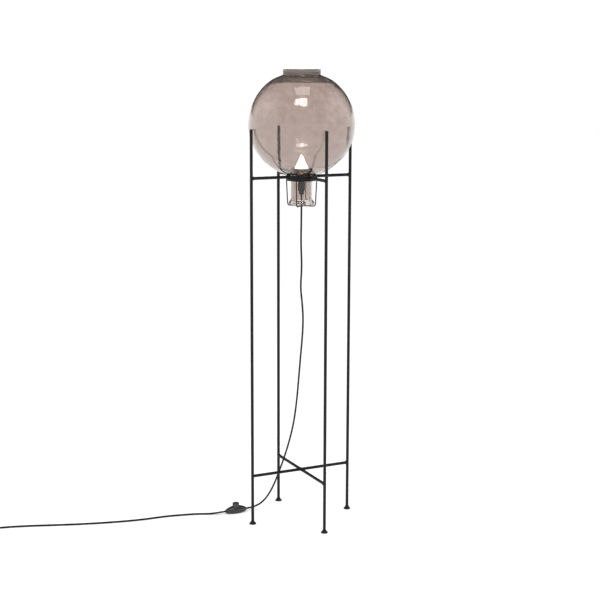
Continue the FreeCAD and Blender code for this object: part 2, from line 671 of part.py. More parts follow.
def make_holder():
    """The lampholder: sleeve with collar, ring nut, brass screw shell, insert and contact."""
    inner = "size.sleeve_radius - size.sleeve_wall"
    end = "worked.sleeve_end"
    seat = "worked.carrier_floor + size.carrier_sheet + size.holder_fit"
    spigot_hole = "size.grip_spigot + size.holder_fit / 2"
    turned("holder_sleeve", [
        (spigot_hole, end),
        ("size.sleeve_radius - size.sleeve_round", end),
        ("size.sleeve_radius", f"{end} + size.sleeve_round", "size.sleeve_round"),
        ("size.sleeve_radius", seat),
        ("size.collar_radius", seat),
        ("size.collar_radius", f"{seat} + size.collar_height"),
        (inner, f"{seat} + size.collar_height"),
        (inner, f"{end} + size.sleeve_wall"),
        (spigot_hole, f"{end} + size.sleeve_wall"),
    ])
    nut_top = "worked.carrier_floor - size.holder_fit"
    turned("holder_ring_nut", [
        ("size.sleeve_radius + size.holder_fit", f"{nut_top} - size.nut_height"),
        ("size.collar_radius - size.nut_edge", f"{nut_top} - size.nut_height"),
        ("size.collar_radius", f"{nut_top} - size.nut_height + size.nut_edge"),
        ("size.collar_radius", nut_top),
        ("size.sleeve_radius + size.holder_fit", nut_top),
    ])
    turned("holder_screw_shell", [
        ("worked.shell_inner", "worked.insert_top"),
        ("worked.shell_outer", "worked.insert_top"),
        ("worked.shell_outer", "worked.insert_top + size.shell_height"),
        ("worked.shell_inner", "worked.insert_top + size.shell_height"),
    ])
    nest = "size.contact_radius + size.holder_fit / 2"
    turned("holder_insert", [
        ("0", f"{end} + size.sleeve_wall + size.holder_fit / 2"),
        ("worked.shell_outer", f"{end} + size.sleeve_wall + size.holder_fit / 2"),
        ("worked.shell_outer", "worked.insert_top"),
        (nest, "worked.insert_top"),
        (nest, "worked.insert_top - size.contact_depth"),
        ("0", "worked.insert_top - size.contact_depth"),
    ])
    turned("holder_contact", [
        ("0", "worked.insert_top - size.contact_depth"),
        ("size.contact_radius", "worked.insert_top - size.contact_depth"),
        ("size.contact_radius", "worked.insert_top"),
        ("0", "worked.insert_top"),
    ])


def make_cord_grip():
    """The tapered cord grip screwed into the sleeve's end, with a hole for the cord."""
    bore = "size.cord_diameter / 2 + size.cord_fit"
    turned("cord_grip", [
        (bore, "worked.grip_end"),
        ("size.grip_foot - size.grip_edge", "worked.grip_end"),
        ("size.grip_foot", "worked.grip_end + size.grip_edge"),
        ("size.grip_radius", "worked.sleeve_end - size.grip_band"),
        ("size.grip_radius", "worked.sleeve_end"),
        ("size.grip_spigot", "worked.sleeve_end"),
        ("size.grip_spigot", "worked.sleeve_end + size.sleeve_wall"),
        ("0", "worked.sleeve_end + size.sleeve_wall"),
        ("0", "worked.grip_end + size.grip_bore"),
        (bore, "worked.grip_end + size.grip_bore"),
    ])


def make_bulb():
    """The candle bulb: an opal glass on a screw cap with its centre contact."""
    base = "worked.bulb_base"
    upright = "sqrt(1 - size.bulb_lean ^ 2)"
    tip = f"{base} + size.bulb_height - size.bulb_tip"
    turned("bulb_glass", [
        ("0", base),
        ("size.bulb_collar", base),
        ("size.bulb_collar", f"{base} + size.bulb_step"),
        ("size.bulb_radius", f"{base} + size.bulb_widest", "size.bulb_skirt"),
        (f"size.bulb_radius - size.bulb_round * (1 - {upright})",
         f"{base} + size.bulb_widest + size.bulb_round * size.bulb_lean", "size.bulb_round"),
        (f"size.bulb_tip * {upright}", f"{tip} + size.bulb_tip * size.bulb_lean",
         "size.bulb_side"),
        ("0", f"{base} + size.bulb_height", "size.bulb_tip"),
    ])
    turned("bulb_cap", [
        ("0", "worked.cap_foot"),
        ("size.button_radius", "worked.cap_foot"),
        ("size.cap_radius", "worked.cap_foot + size.cap_cone"),
        ("size.cap_radius", base),
        ("0", base),
    ])
    turned("bulb_contact", [
        ("0", "worked.cap_foot - size.button_height"),
        ("size.button_radius / 2", "worked.cap_foot - size.button_height"),
        ("size.button_radius", "worked.cap_foot"),
        ("0", "worked.cap_foot"),
    ])


def seat_in_switch(thing):
    """Place a piece of the switch, whose own origin is the middle of the switch's axis."""
    thing.setExpression("Placement.Base.x", "size.switch_along")
    thing.setExpression("Placement.Base.y", "size.switch_across")
    thing.setExpression("Placement.Base.z", "size.switch_axis")


def cut_box(body, name, half_along, half_across, depth, offset=None):
    """Cut a centred rectangle down from the body's level plane, or from one raised by offset."""
    sketch = new_sketch(body, f"{name}_outline", "XY_Plane", offset)
    outline(sketch, [
        (f"-({half_along})", f"-({half_across})"),
        (half_along, f"-({half_across})"),
        (half_along, half_across),
        (f"-({half_along})", half_across),
    ])
    pocket = body.newObject("PartDesign::Pocket", name)
    pocket.Profile = sketch
    pocket.Type = "Length"
    pocket.setExpression("Length", depth)
    doc.recompute()


def make_switch_case():
    """The foot switch's case: a spindle split level, with a flat under its base."""
    seat = "size.cord_diameter / 2 + size.cord_fit"
    seat_end = "(worked.half_length - size.cord_entry)"
    shell_ends = [
        (f"-{seat_end}", "size.core_way"),
        (f"-{seat_end}", seat),
        ("-worked.half_length", seat),
        ("-worked.half_length", "size.switch_end"),
        ("worked.half_length", "size.switch_end", "-worked.switch_bulge"),
        ("worked.half_length", seat),
        (seat_end, seat),
        (seat_end, "size.core_way"),
    ]
    cover = turned("switch_cover", shell_ends + [
        ("worked.cavity_half", "size.core_way"),
        ("worked.cavity_half", "worked.cavity_end"),
        ("-worked.cavity_half", "worked.cavity_end", "worked.cavity_bulge"),
        ("-worked.cavity_half", "size.core_way"),
    ], axis="H_Axis", role="XY_Plane", angle=180)
    cut_round(cover, "button_hole", "XY_Plane", "0", "0", "worked.push_hole")
    base = turned("switch_base", shell_ends, axis="H_Axis", role="XY_Plane", angle=180)
    base.Tip.Reversed = True
    cut_box(base, "base_flat", "worked.half_length", "size.switch_radius",
            "size.switch_radius", "-size.switch_axis")
    cut_round(base, "button_well", "XY_Plane", "0", "0", "size.well_radius",
              "size.well_depth")
    cut_box(base, "core_trough", "worked.cavity_half", "size.trough_width / 2",
            "size.trough_depth")
    for end in (-1, 1):
        along = f"{end} * size.screw_reach"
        name = "left" if end < 0 else "right"
        cut_round(base, f"screw_hole_{name}", "XY_Plane", along, "0",
                  "size.screw_radius + size.holder_fit / 2")
        cut_round(cover, f"screw_pilot_{name}", "XY_Plane", along, "0",
                  "size.screw_radius + size.holder_fit / 2",
                  "size.screw_length + size.screw_sunk - size.switch_axis"
                  " + size.push_gap + size.holder_fit", True)
        head = new_sketch(base, f"screw_sink_{name}_circle", "XY_Plane", "-size.switch_axis")
        ring_line(head, along, "0", "size.screw_head + size.holder_fit")
        sink = base.newObject("PartDesign::Pocket", f"screw_sink_{name}")
        sink.Profile = head
        sink.Reversed = True
        sink.setExpression("Length", "size.screw_sunk + size.push_gap")
        doc.recompute()
    seat_in_switch(cover)
    seat_in_switch(base)


def make_switch_screws():
    """Two case screws, driven from below."""
    low = "size.push_gap - size.switch_axis"
    screws = []
    for end in (-1, 1):
        screw = turned("case_screw_left" if end < 0 else "case_screw_right", [
            ("0", low),
            ("size.screw_head", low),
            ("size.screw_head", f"{low} + size.screw_sunk - size.holder_fit"),
            ("size.screw_radius", f"{low} + size.screw_sunk - size.holder_fit"),
            ("size.screw_radius",
             f"{low} + size.screw_sunk + size.screw_length - size.screw_point"),
            ("0", f"{low} + size.screw_sunk + size.screw_length"),
        ])
        screw.setExpression("Placement.Base.x", f"{end} * size.screw_reach")
        screws.append(screw)
    group = doc.addObject("Part::Compound", "switch_screws")
    group.Label = "switch_screws"
    group.Links = screws
    seat_in_switch(group)


def make_switch_button():
    """The push button: a cup over its spring, kept in the cover by a flange."""
    flange = "size.push_radius + size.push_flange"
    button = turned("switch_button", [
        ("size.spring_hole", "size.flange_low"),
        (flange, "size.flange_low"),
        (flange, "size.flange_low + size.flange_height"),
        ("size.push_radius", "size.flange_low + size.flange_height"),
        ("size.push_radius", "size.push_top - size.push_edge"),
        ("size.push_radius - size.push_edge", "size.push_top", "size.push_edge"),
        ("0", "size.push_top"),
        ("0", "size.spring_room"),
        ("size.spring_hole", "size.spring_room"),
    ])
    seat_in_switch(button)


def make_switch_block():
    """The terminal block in the base, beside the button's well."""
    block = doc.addObject("Part::Box", "switch_terminal_block")
    block.Label = "switch_terminal_block"
    block.setExpression("Length", "size.block_length")
    block.setExpression("Width", "size.block_width")
    block.setExpression("Height", "size.block_height")
    block.setExpression("Placement.Base.x", "size.switch_along + size.block_near")
    block.setExpression("Placement.Base.y", "size.switch_across - size.block_width / 2")
    block.setExpression("Placement.Base.z", "size.switch_axis - size.trough_depth")


def make_switch_spring():
    """The button's coil spring, from the well's floor to the top of its hole in the button."""
    wire = size.spring_wire
    low = size.switch_axis - size.well_depth + wire / 2 + size.holder_fit / 2
    high = size.switch_axis + size.spring_room - wire / 2 - size.holder_fit / 2
    pitch = (high - low) / size.spring_turns
    helix = Part.makeHelix(pitch, high - low, size.spring_radius)
    start = Vector(size.spring_radius, 0, 0)
    rise = Vector(0, 2 * math.pi * size.spring_radius, pitch)
    section = Part.Wire([Part.makeCircle(wire / 2, start, rise)])
    spring = doc.addObject("Part::Feature", "switch_spring")
    spring.Label = "switch_spring"
    spring.Shape = helix.makePipeShell([section], True, True)
    spring.Placement = Placement(Vector(size.switch_along, size.switch_across, low), Rotation())


def bend(start, apex, end):
    """The arc that leaves start towards apex and arrives at end from it, or a line if straight."""
    middle = (start + end) * 0.5
    up = apex - middle
    if up.Length < 1e-6:
        return Part.LineSegment(start, end).toShape(), None
    half_chord = (end - start).Length / 2
    half_turn = math.atan2(up.Length, half_chord)
    top = middle + up.normalize() * half_chord * math.tan(half_turn / 2)
    return Part.Arc(start, top, end).toShape(), half_chord / math.sin(half_turn)


def smooth_route(points):
    """Straight runs joined by tangent arcs, each as large as its runs allow, and the radii."""
    points = [Vector(*p) for p in points]
    edges, radii = [], []
    here = points[0]
    for before, point, after in zip(points, points[1:], points[2:]):
        back, on = point - before, after - point
        reach = 0.45 * min(back.Length, on.Length)
        arrive = point - back.normalize() * reach
        leave = point + on.normalize() * reach
        edges.append(Part.LineSegment(here, arrive).toShape())
        arc, radius = bend(arrive, point, leave)
        edges.append(arc)
        radii.append(radius)
        here = leave
    edges.append(Part.LineSegment(here, points[-1]).toShape())
    return edges, radii


def make_tube(label, edges):
    """A round cord along connected edges."""
    path = Part.Wire(edges)
    start = edges[0].valueAt(edges[0].FirstParameter)
    heading = edges[0].tangentAt(edges[0].FirstParameter)
    section = Part.Wire([Part.makeCircle(size.cord_diameter / 2, start, heading)])
    shell = Part.BRepOffsetAPI.MakePipeShell(path)
    shell.add(section)
    shell.build()
    shell.makeSolid()
    tube = doc.addObject("Part::Feature", label)
    tube.Label = label
    tube.Shape = shell.shape()
    expected = math.pi * size.cord_diameter ** 2 / 4 * path.Length
    print(f"{label}: length {path.Length:.0f}, volume {tube.Shape.Volume / expected:.4f} of it")
    return path


def make_free_cords():
    """The hanging stretch and the stretch along the floor."""
    for label, route in (("cord_drop", DROP_ROUTE), ("cord_lead", LEAD_ROUTE)):
        edges, radii = smooth_route(route)
        print(f"{label}: radii", [round(radius) for radius in radii])
        make_tube(label, edges)


def biarc(start, heading, end, arrival):
    """Two arcs that leave start along heading, meet in line and arrive at end."""
    chord = end - start
    both = heading + arrival
    quadratic = both.dot(both) - 4
    linear = -2 * chord.dot(both)
    constant = chord.dot(chord)
    if abs(quadratic) < 1e-9:
        reach = -constant / linear
    else:
        root = math.sqrt(linear ** 2 - 4 * quadratic * constant)
        reach = (-linear - root) / (2 * quadratic)
    first, last = start + heading * reach, end - arrival * reach
    join = (first + last) * 0.5
    return [bend(start, first, join)[0], bend(join, last, end)[0]]


def coil_knots():
    """Place and heading of the coil at each quarter turn: in, up a layer, and out again."""
    total = QUARTER_TURNS_IN + QUARTER_TURNS_CLIMB + QUARTER_TURNS_OUT
    top = QUARTER_TURNS_IN + QUARTER_TURNS_CLIMB
    rate = size.coil_pitch / (2 * math.pi)
    low = size.cord_diameter / 2
    knots = []
    for quarter in range(total + 1):
        turn = math.pi / 2 * (quarter + 1)
        inward = max(QUARTER_TURNS_IN - quarter, 0)
        outward = max(quarter - top, 0)
        climbed = min(max(quarter - QUARTER_TURNS_IN, 0) / QUARTER_TURNS_CLIMB, 1)
        radius = size.coil_inner + rate * math.pi / 2 * (inward + outward)
        radial = -rate if inward else (rate if outward else 0)
        rise = 0
        if 0 < climbed < 1:
            rise = 1.5 * size.coil_layer / (math.pi / 2 * QUARTER_TURNS_CLIMB)
        if quarter in (0, total):
            radial = 0
        out = Vector(math.cos(turn), math.sin(turn), 0)
        side = Vector(-math.sin(turn), math.cos(turn), 0)
        place = out * radius + Vector(0, 0, low + size.coil_layer * climbed)
        heading = (out * radial + side * radius + Vector(0, 0, rise)).normalize()
        knots.append((place, heading))
    return knots


def least_gap(path, diameter):
    """The least gap of a wound cord to itself, on points along it."""
    points = path.discretize(Distance=1.5)
    step = path.Length / (len(points) - 1)
    apart = int(3 * diameter / step)
    nearest = min(
        (points[i] - points[j]).Length
        for i in range(0, len(points), 2)
        for j in range(i + apart, len(points), 2)
    )
    return nearest - diameter


def make_coil():
    """The cord that is put away: a round coil of two layers, whose end leads to the plug."""
    middle = Vector(size.coil_along, size.coil_across, 0)
    knots = [(place + middle, heading) for place, heading in coil_knots()]
    first, heading = knots[0]
    edges = [Part.LineSegment(first - heading * size.coil_lead, first).toShape()]
    for (start, leaving), (end, arriving) in zip(knots, knots[1:]):
        edges += biarc(start, leaving, end, arriving)
    last, heading = knots[-1]
    straight = last + heading * size.coil_lead
    entry = last + heading * size.plug_reach
    entry.z = size.plug_axis
    edges.append(Part.LineSegment(last, straight).toShape())
    edges += biarc(straight, heading, entry, heading)
    inside = heading * (size.relief_bore - size.cord_fit)
    edges.append(Part.LineSegment(entry, entry + inside).toShape())
    path = make_tube("cord_coil", edges)
    print(f"cord_coil: least gap to itself {least_gap(path, size.cord_diameter):.2f}")
    return last + heading * size.plug_reach


def seat_plug(thing, place):
    """Place a piece of the plug, whose own +X runs from the cord to the pins."""
    thing.Placement = Placement(Vector(place.x, place.y, size.plug_axis),
                                Rotation(Vector(0, 0, 1), -90))
    thing.setExpression("Placement.Base.z", "size.plug_axis")


def make_plug(place):
    """The flat two-pin plug: a moulded body, its tapered relief and two round pins."""
    relief = turned("plug_relief", [
        ("0", "size.cord_diameter / 2 + size.cord_fit"),
        ("0", "size.relief_tip"),
        ("size.relief_length", "size.relief_radius"),
        ("size.relief_length", "0"),
        ("size.relief_bore", "0"),
        ("size.relief_bore", "size.cord_diameter / 2 + size.cord_fit"),
    ], axis="H_Axis")
    seat_plug(relief, place)

    body = new_body("plug_body")
    sketch = new_sketch(body, "plug_outline", "XY_Plane")
    near, far = "size.relief_length", "size.relief_length + size.plug_length"
    wide = f"{near} + size.plug_taper"
    outline(sketch, [
        (near, "-size.plug_waist / 2"),
        (wide, "-size.plug_width / 2", "worked.plug_bend"),
        (far, "-size.plug_width / 2"),
        (far, "size.plug_width / 2"),
        (wide, "size.plug_width / 2"),
        (near, "size.plug_waist / 2", "worked.plug_bend"),
    ])
    pad = body.newObject("PartDesign::Pad", "plug_pad")
    pad.Profile = sketch
    pad.SideType = "Symmetric"
    pad.setExpression("Length", "size.plug_thickness")
    doc.recompute()
    smooth = amount(wide)
    round_edges(
        body, "plug_corners", "size.plug_corner",
        lambda edge: edge.BoundBox.ZLength > 1 and abs(edge.CenterOfMass.x - smooth) > 1)
    level = amount("size.plug_thickness / 2")
    round_edges(body, "plug_rounding", "size.plug_round",
                lambda edge: abs(abs(edge.CenterOfMass.z) - level) < 0.01)
    for side in (-1, 1):
        name = "pin_hole_left" if side < 0 else "pin_hole_right"
        hole = new_sketch(body, f"{name}_circle", "YZ_Plane", far)
        ring_line(hole, f"{side} * size.pin_spacing / 2", "0",
                  "size.pin_root_radius + size.pin_fit")
        pocket = body.newObject("PartDesign::Pocket", name)
        pocket.Profile = hole
        pocket.setExpression("Length", "size.pin_root")
        doc.recompute()
    seat_plug(body, place)

    pins = []
    for side in (-1, 1):
        end = f"{far} + size.pin_length"
        pin_body = turned("pin_left" if side < 0 else "pin_right", [
            (f"{far} - size.pin_root", "0"),
            (end, "0"),
            (end, "size.pin_radius / 2"),
            (f"{end} - size.pin_radius / 2", "size.pin_radius", "size.pin_radius / 2"),
            (far, "size.pin_radius"),
            (far, "size.pin_root_radius"),
            (f"{far} - size.pin_root", "size.pin_root_radius"),
        ], axis="H_Axis")
        pin_body.setExpression("Placement.Base.y", f"{side} * size.pin_spacing / 2")
        pins.append(pin_body)
    group = doc.addObject("Part::Compound", "plug_pins")
    group.Label = "plug_pins"
    group.Links = pins
    seat_plug(group, place)


def check_document():
    """Stop if any object failed to recompute."""
    doc.recompute()
    failed = [o.Name for o in doc.Objects if {"Invalid", "Error"} & set(o.State)]
    if failed:
        raise RuntimeError(f"these objects failed: {failed}")


def write_parts():
    """Check each sub-part's shape and write it to its own file."""
    grouped = {o for g in doc.Objects if g.TypeId == "Part::Compound" for o in g.Links}
    kinds = ("PartDesign::Body", "Part::Torus", "Part::Box", "Part::Compound", "Part::Feature")
    parts = [o for o in doc.Objects if o.TypeId in kinds and o not in grouped]
    for part in parts:
        if part.Shape.isNull() or not part.Shape.isValid() or not part.Shape.Solids:
            raise RuntimeError(f"{part.Label} has no sound shape")
    os.makedirs("parts", exist_ok=True)
    for part in parts:
        part.Shape.exportStep(f"parts/{part.Label}.step")
    print(f"{len(parts)} parts written")


fill_sheet()
work_out_sizes()
for side, degrees in SIDES.items():
    make_post(side, degrees)
    make_foot(side, degrees)
    make_arm(side, degrees)
make_cross()
make_seat_ring()
for name, degrees in QUARTERS.items():
    make_basket_wire(name, degrees)
make_cord_eye()
make_globe()
make_carrier()
make_holder()
make_cord_grip()
make_bulb()
make_switch_case()
make_switch_screws()
make_switch_button()
make_switch_block()
make_switch_spring()
make_free_cords()
make_plug(make_coil())
doc.removeObject("reckoner")
check_document()
write_parts()
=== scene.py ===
import math

import bpy
import numpy as np
from mathutils import Matrix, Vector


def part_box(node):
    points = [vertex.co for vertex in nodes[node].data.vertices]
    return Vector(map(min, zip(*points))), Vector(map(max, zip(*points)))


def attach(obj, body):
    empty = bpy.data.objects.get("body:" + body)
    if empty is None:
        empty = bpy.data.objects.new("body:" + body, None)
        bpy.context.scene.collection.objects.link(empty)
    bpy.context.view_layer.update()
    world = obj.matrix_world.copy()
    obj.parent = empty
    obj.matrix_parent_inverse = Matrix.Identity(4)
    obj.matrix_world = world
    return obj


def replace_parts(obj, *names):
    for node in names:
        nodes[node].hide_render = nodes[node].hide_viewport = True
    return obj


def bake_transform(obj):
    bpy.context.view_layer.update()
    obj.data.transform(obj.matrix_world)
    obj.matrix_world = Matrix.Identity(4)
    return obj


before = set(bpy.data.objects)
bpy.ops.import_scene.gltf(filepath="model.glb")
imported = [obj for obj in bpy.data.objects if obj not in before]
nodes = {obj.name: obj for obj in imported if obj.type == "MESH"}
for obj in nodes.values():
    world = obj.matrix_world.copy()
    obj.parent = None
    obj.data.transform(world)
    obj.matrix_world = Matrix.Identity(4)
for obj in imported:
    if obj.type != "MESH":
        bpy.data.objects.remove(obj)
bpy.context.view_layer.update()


# ---- Powder-coated steel frame ----------------------------------------------------------
# Posts, arms and low cross are round bar, coped and welded; the seat ring is flat bar, and the
# basket's wires and eye are thin rod. All of it is blasted and powder coated a satin black, which
# leaves a fine grain and a slow change of gloss, and the feet are scuffed where they stand.

COAT_DARK = (0.0035, 0.0034, 0.0036, 1)
COAT_PALE = (0.0085, 0.0080, 0.0078, 1)
COAT_GLOSS = 0.22
COAT_GRAIN = (0.12, 0.0002)
SCUFFED = (0.055, 0.052, 0.049, 1)
FOOT_SCUFFS = 0.6
GRAIN_PER_METRE = 1400.0
CLOUDS_PER_METRE = 28.0


def add_node(tree, kind, inputs=None, **settings):
    """A new node of a tree with its settings and its plain input values."""
    node = tree.nodes.new(kind)
    for name, value in settings.items():
        setattr(node, name, value)
    for name, value in (inputs or {}).items():
        node.inputs[name].default_value = value
    return node


def new_group(name, inputs, outputs):
    """A node group with number inputs (name, usual value) and outputs (name, socket type)."""
    tree = bpy.data.node_groups.new(name, "ShaderNodeTree")
    for label, usual in inputs:
        socket = tree.interface.new_socket(label, in_out="INPUT", socket_type="NodeSocketFloat")
        socket.default_value = usual
    for label, kind in outputs:
        tree.interface.new_socket(label, in_out="OUTPUT", socket_type=kind)
    return tree, tree.nodes.new("NodeGroupInput"), tree.nodes.new("NodeGroupOutput")


def make_grain():
    """Fine Height of a sprayed or moulded skin, and a slow Cloud from 0 to 1 over it."""
    tree, given, made = new_group(
        "surface_grain",
        [("Grain", GRAIN_PER_METRE), ("Clouds", CLOUDS_PER_METRE)],
        [("Height", "NodeSocketFloat"), ("Cloud", "NodeSocketFloat")])
    place = add_node(tree, "ShaderNodeTexCoord")
    fine = add_node(tree, "ShaderNodeTexNoise", {"Detail": 3.0, "Roughness": 0.6})
    slow = add_node(tree, "ShaderNodeTexNoise", {"Detail": 4.0, "Roughness": 0.55})
    stretch = add_node(tree, "ShaderNodeMapRange", {"From Min": 0.35, "From Max": 0.65})
    for texture, scale in ((fine, "Grain"), (slow, "Clouds")):
        tree.links.new(place.outputs["Object"], texture.inputs["Vector"])
        tree.links.new(given.outputs[scale], texture.inputs["Scale"])
    tree.links.new(slow.outputs["Fac"], stretch.inputs["Value"])
    tree.links.new(fine.outputs["Fac"], made.inputs["Height"])
    tree.links.new(stretch.outputs["Result"], made.inputs["Cloud"])
    return tree


def make_scuffs():
    """A Mask of scuffs that is whole below a height, gone above another, and broken by noise."""
    tree, given, made = new_group(
        "scuffs", [("Low", 0.001), ("High", 0.006), ("Amount", 0.6)],
        [("Mask", "NodeSocketFloat")])
    place = add_node(tree, "ShaderNodeTexCoord")
    split = add_node(tree, "ShaderNodeSeparateXYZ")
    fall = add_node(tree, "ShaderNodeMapRange", {"To Min": 1.0, "To Max": 0.0})
    patches = add_node(tree, "ShaderNodeTexNoise",
                       {"Scale": 260.0, "Detail": 6.0, "Roughness": 0.7})
    broken = add_node(tree, "ShaderNodeMapRange", {"From Min": 0.45, "From Max": 0.62})
    both = add_node(tree, "ShaderNodeMath", operation="MULTIPLY")
    amount = add_node(tree, "ShaderNodeMath", operation="MULTIPLY")
    tree.links.new(place.outputs["Object"], split.inputs["Vector"])
    tree.links.new(place.outputs["Object"], patches.inputs["Vector"])
    tree.links.new(split.outputs["Z"], fall.inputs["Value"])
    tree.links.new(given.outputs["Low"], fall.inputs["From Min"])
    tree.links.new(given.outputs["High"], fall.inputs["From Max"])
    tree.links.new(patches.outputs["Fac"], broken.inputs["Value"])
    tree.links.new(fall.outputs["Result"], both.inputs[0])
    tree.links.new(broken.outputs["Result"], both.inputs[1])
    tree.links.new(both.outputs["Value"], amount.inputs[0])
    tree.links.new(given.outputs["Amount"], amount.inputs[1])
    tree.links.new(amount.outputs["Value"], made.inputs["Mask"])
    return tree


GRAIN = make_grain()
SCUFFS = make_scuffs()


def new_material(name, **sockets):
    """A material with one Principled shader whose plain sockets are set by name."""
    material = bpy.data.materials.new(name)
    material.use_nodes = True
    shader = material.node_tree.nodes["Principled BSDF"]
    for label, value in sockets.items():
        shader.inputs[label.replace("_", " ")].default_value = value
    return material, material.node_tree, shader


def place_group(tree, group, **inputs):
    """A group's node in a material, with its own values."""
    node = tree.nodes.new("ShaderNodeGroup")
    node.node_tree = group
    for label, value in inputs.items():
        node.inputs[label].default_value = value
    return node


def mix_colours(tree, factor, first, second):
    """The colour output between two colours or colour sockets, by a mask."""
    mix = add_node(tree, "ShaderNodeMix", data_type="RGBA")
    tree.links.new(factor, mix.inputs["Factor"])
    for value, socket in ((first, mix.inputs[6]), (second, mix.inputs[7])):
        if isinstance(value, tuple):
            socket.default_value = value
        else:
            tree.links.new(value, socket)
    return mix.outputs[2]


def spread(tree, value, low, high):
    """A mask from 0 to 1 spread to a range."""
    node = add_node(tree, "ShaderNodeMapRange", {"To Min": low, "To Max": high})
    tree.links.new(value, node.inputs["Value"])
    return node.outputs["Result"]


def raise_bump(tree, shader, height, strength, distance):
    """A bump from a height, of a strength and a distance in metres, in the shader's normal."""
    bump = add_node(tree, "ShaderNodeBump", {"Strength": strength, "Distance": distance})
    tree.links.new(height, bump.inputs["Height"])
    tree.links.new(bump.outputs["Normal"], shader.inputs["Normal"])


def skin_material(name, dark, pale, roughness, grain, bump, clouds=CLOUDS_PER_METRE, scuffs=0.0,
                  **sockets):
    """A painted, moulded or drawn skin: two close tones, a range of roughness and a grain.

    The bump is a strength and a distance, and the scuffs are their amount, none at 0.
    """
    material, tree, shader = new_material(name, **sockets)
    skin = place_group(tree, GRAIN, Grain=grain, Clouds=clouds)
    colour = mix_colours(tree, skin.outputs["Cloud"], dark, pale)
    if scuffs:
        worn = place_group(tree, SCUFFS, Amount=scuffs)
        colour = mix_colours(tree, worn.outputs["Mask"], colour, SCUFFED)
    tree.links.new(colour, shader.inputs["Base Color"])
    tree.links.new(spread(tree, skin.outputs["Cloud"], *roughness), shader.inputs["Roughness"])
    raise_bump(tree, shader, skin.outputs["Height"], *bump)
    return material


def finish_nodes(material, names):
    """Give the CAD nodes of those names one material."""
    for name in names:
        mesh = nodes[name].data
        mesh.materials.clear()
        mesh.materials.append(material)


SIDES = ["left", "front", "right", "back"]
WIRES = ["back_right", "back_left", "front_left", "front_right"]
steel_names = [f"post_{side}" for side in SIDES] + [f"arm_{side}" for side in SIDES]
steel_names += ["cross_bar_long", "cross_bar_front", "cross_bar_back", "seat_ring", "cord_eye"]
steel_names += [f"basket_wire_{quarter}" for quarter in WIRES]
finish_nodes(skin_material("powder_coat", COAT_DARK, COAT_PALE, (0.36, 0.5),
                           GRAIN_PER_METRE, COAT_GRAIN, Specular_IOR_Level=COAT_GLOSS),
             steel_names)
finish_nodes(skin_material("powder_coat_foot", COAT_DARK, COAT_PALE, (0.4, 0.55),
                           GRAIN_PER_METRE, COAT_GRAIN, scuffs=FOOT_SCUFFS,
                           Specular_IOR_Level=COAT_GLOSS),
             [f"foot_{side}" for side in SIDES])


# ---- Smoked glass globe ----------------------------------------------------------------
# One blown piece of smoke brown glass: a neck with a thick lip below, the sphere and an upright
# rim on top. It is blown into a mould and cut and fire polished at both ends, so its skin is
# glossy with slow waves, and its rim is thick, rounded and darker. It rests on the seat ring.
# A dark band just under the rim is a painted reflection of the dark surround, put into the glass's
# tint.

GLOBE_RADIUS = 0.138
GLOBE_DROP = 0.0031
GLASS_WALL = 0.0035
SEAT_EDGE = 0.001
SEAT_RADIUS = 0.037
SEAT_REACH = 0.1393
RIM_FOOT = 0.0488
RIM_RADIUS = 0.0495
RIM_TURN = 0.0015
RIM_EDGE = 0.0019
RIM_DROP = 0.0025
RIM_DROP_START = 0.085
NECK_RADIUS = 0.0278
NECK_TURN = 0.008
NECK_FOOT_GAP = 0.002
NECK_TOP_GAP = 0.003
LIP_RADIUS = 0.0334
LIP_HEIGHT = 0.0165
LIP_BAND = 0.0045
LIP_EDGE = 0.002
GLOBE_SIDES = 160
GLASS_WAVES = (0.3, 0.0022)
GLASS_TINT_PALE = (0.68, 0.61, 0.58, 1)
GLASS_TINT_DEEP = (0.615, 0.53, 0.49, 1)
# Painted reflection: this dark tint under the rim stands for the dark surround seen in the glass.
GLASS_PAINTED_REFLECTION_TINT = (0.24, 0.205, 0.19, 1)
GLASS_TINT_RIM = (0.40, 0.36, 0.34, 1)
PAINTED_REFLECTION_START, PAINTED_REFLECTION_FULL = 1.171, 1.181
RIM_START, RIM_FULL = 1.1865, 1.1885


def arc(centre, radius, start, end, steps):
    """Points of an arc: the centre plus the radius times cosine and sine of even angles.

    Angles are in degrees, from the outward direction to upwards.
    """
    angle = np.radians(np.linspace(start, end, steps))
    return np.column_stack([centre[0] + radius * np.cos(angle),
                            centre[1] + radius * np.sin(angle)])


def line(start, end, steps):
    """Even points from one place to another, both kept."""
    share = np.linspace(0, 1, steps)[:, None]
    return np.array(start) * (1 - share) + np.array(end) * share


def new_piece(name, points, faces, material, body):
    """A smooth object from points and faces, with one material, on a body if one is named."""
    mesh = bpy.data.meshes.new(name)
    mesh.from_pydata(points.tolist(), [], faces)
    mesh.validate()
    mesh.polygons.foreach_set("use_smooth", np.ones(len(mesh.polygons), bool))
    mesh.materials.append(material)
    piece = bpy.data.objects.new(name, mesh)
    bpy.context.scene.collection.objects.link(piece)
    if body:
        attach(piece, body)
    return piece


def turn_profile(profile, sides):
    """Points and faces of a closed profile turned about the upright axis.

    Row i and side j give (r_i cos a_j, r_i sin a_j, z_i) with a_j even over a whole turn.
    Both directions close on themselves.
    """
    angle = np.linspace(0, 2 * np.pi, sides, endpoint=False)
    radius, height = profile[:, 0][:, None], profile[:, 1][:, None]
    points = np.stack([radius * np.cos(angle), radius * np.sin(angle),
                       height + 0 * angle], axis=-1).reshape(-1, 3)
    row, side = np.meshgrid(np.arange(len(profile)), np.arange(sides), indexing="ij")
    next_row, next_side = (row + 1) % len(profile), (side + 1) % sides
    faces = np.stack([row * sides + side, row * sides + next_side,
                      next_row * sides + next_side, next_row * sides + side], axis=-1)
    return points, faces.reshape(-1, 4).tolist()


def ease(share):
    """From 0 to 1 with a level start and end: three squares less two cubes of the share."""
    share = np.clip(share, 0, 1)
    return 3 * share ** 2 - 2 * share ** 3


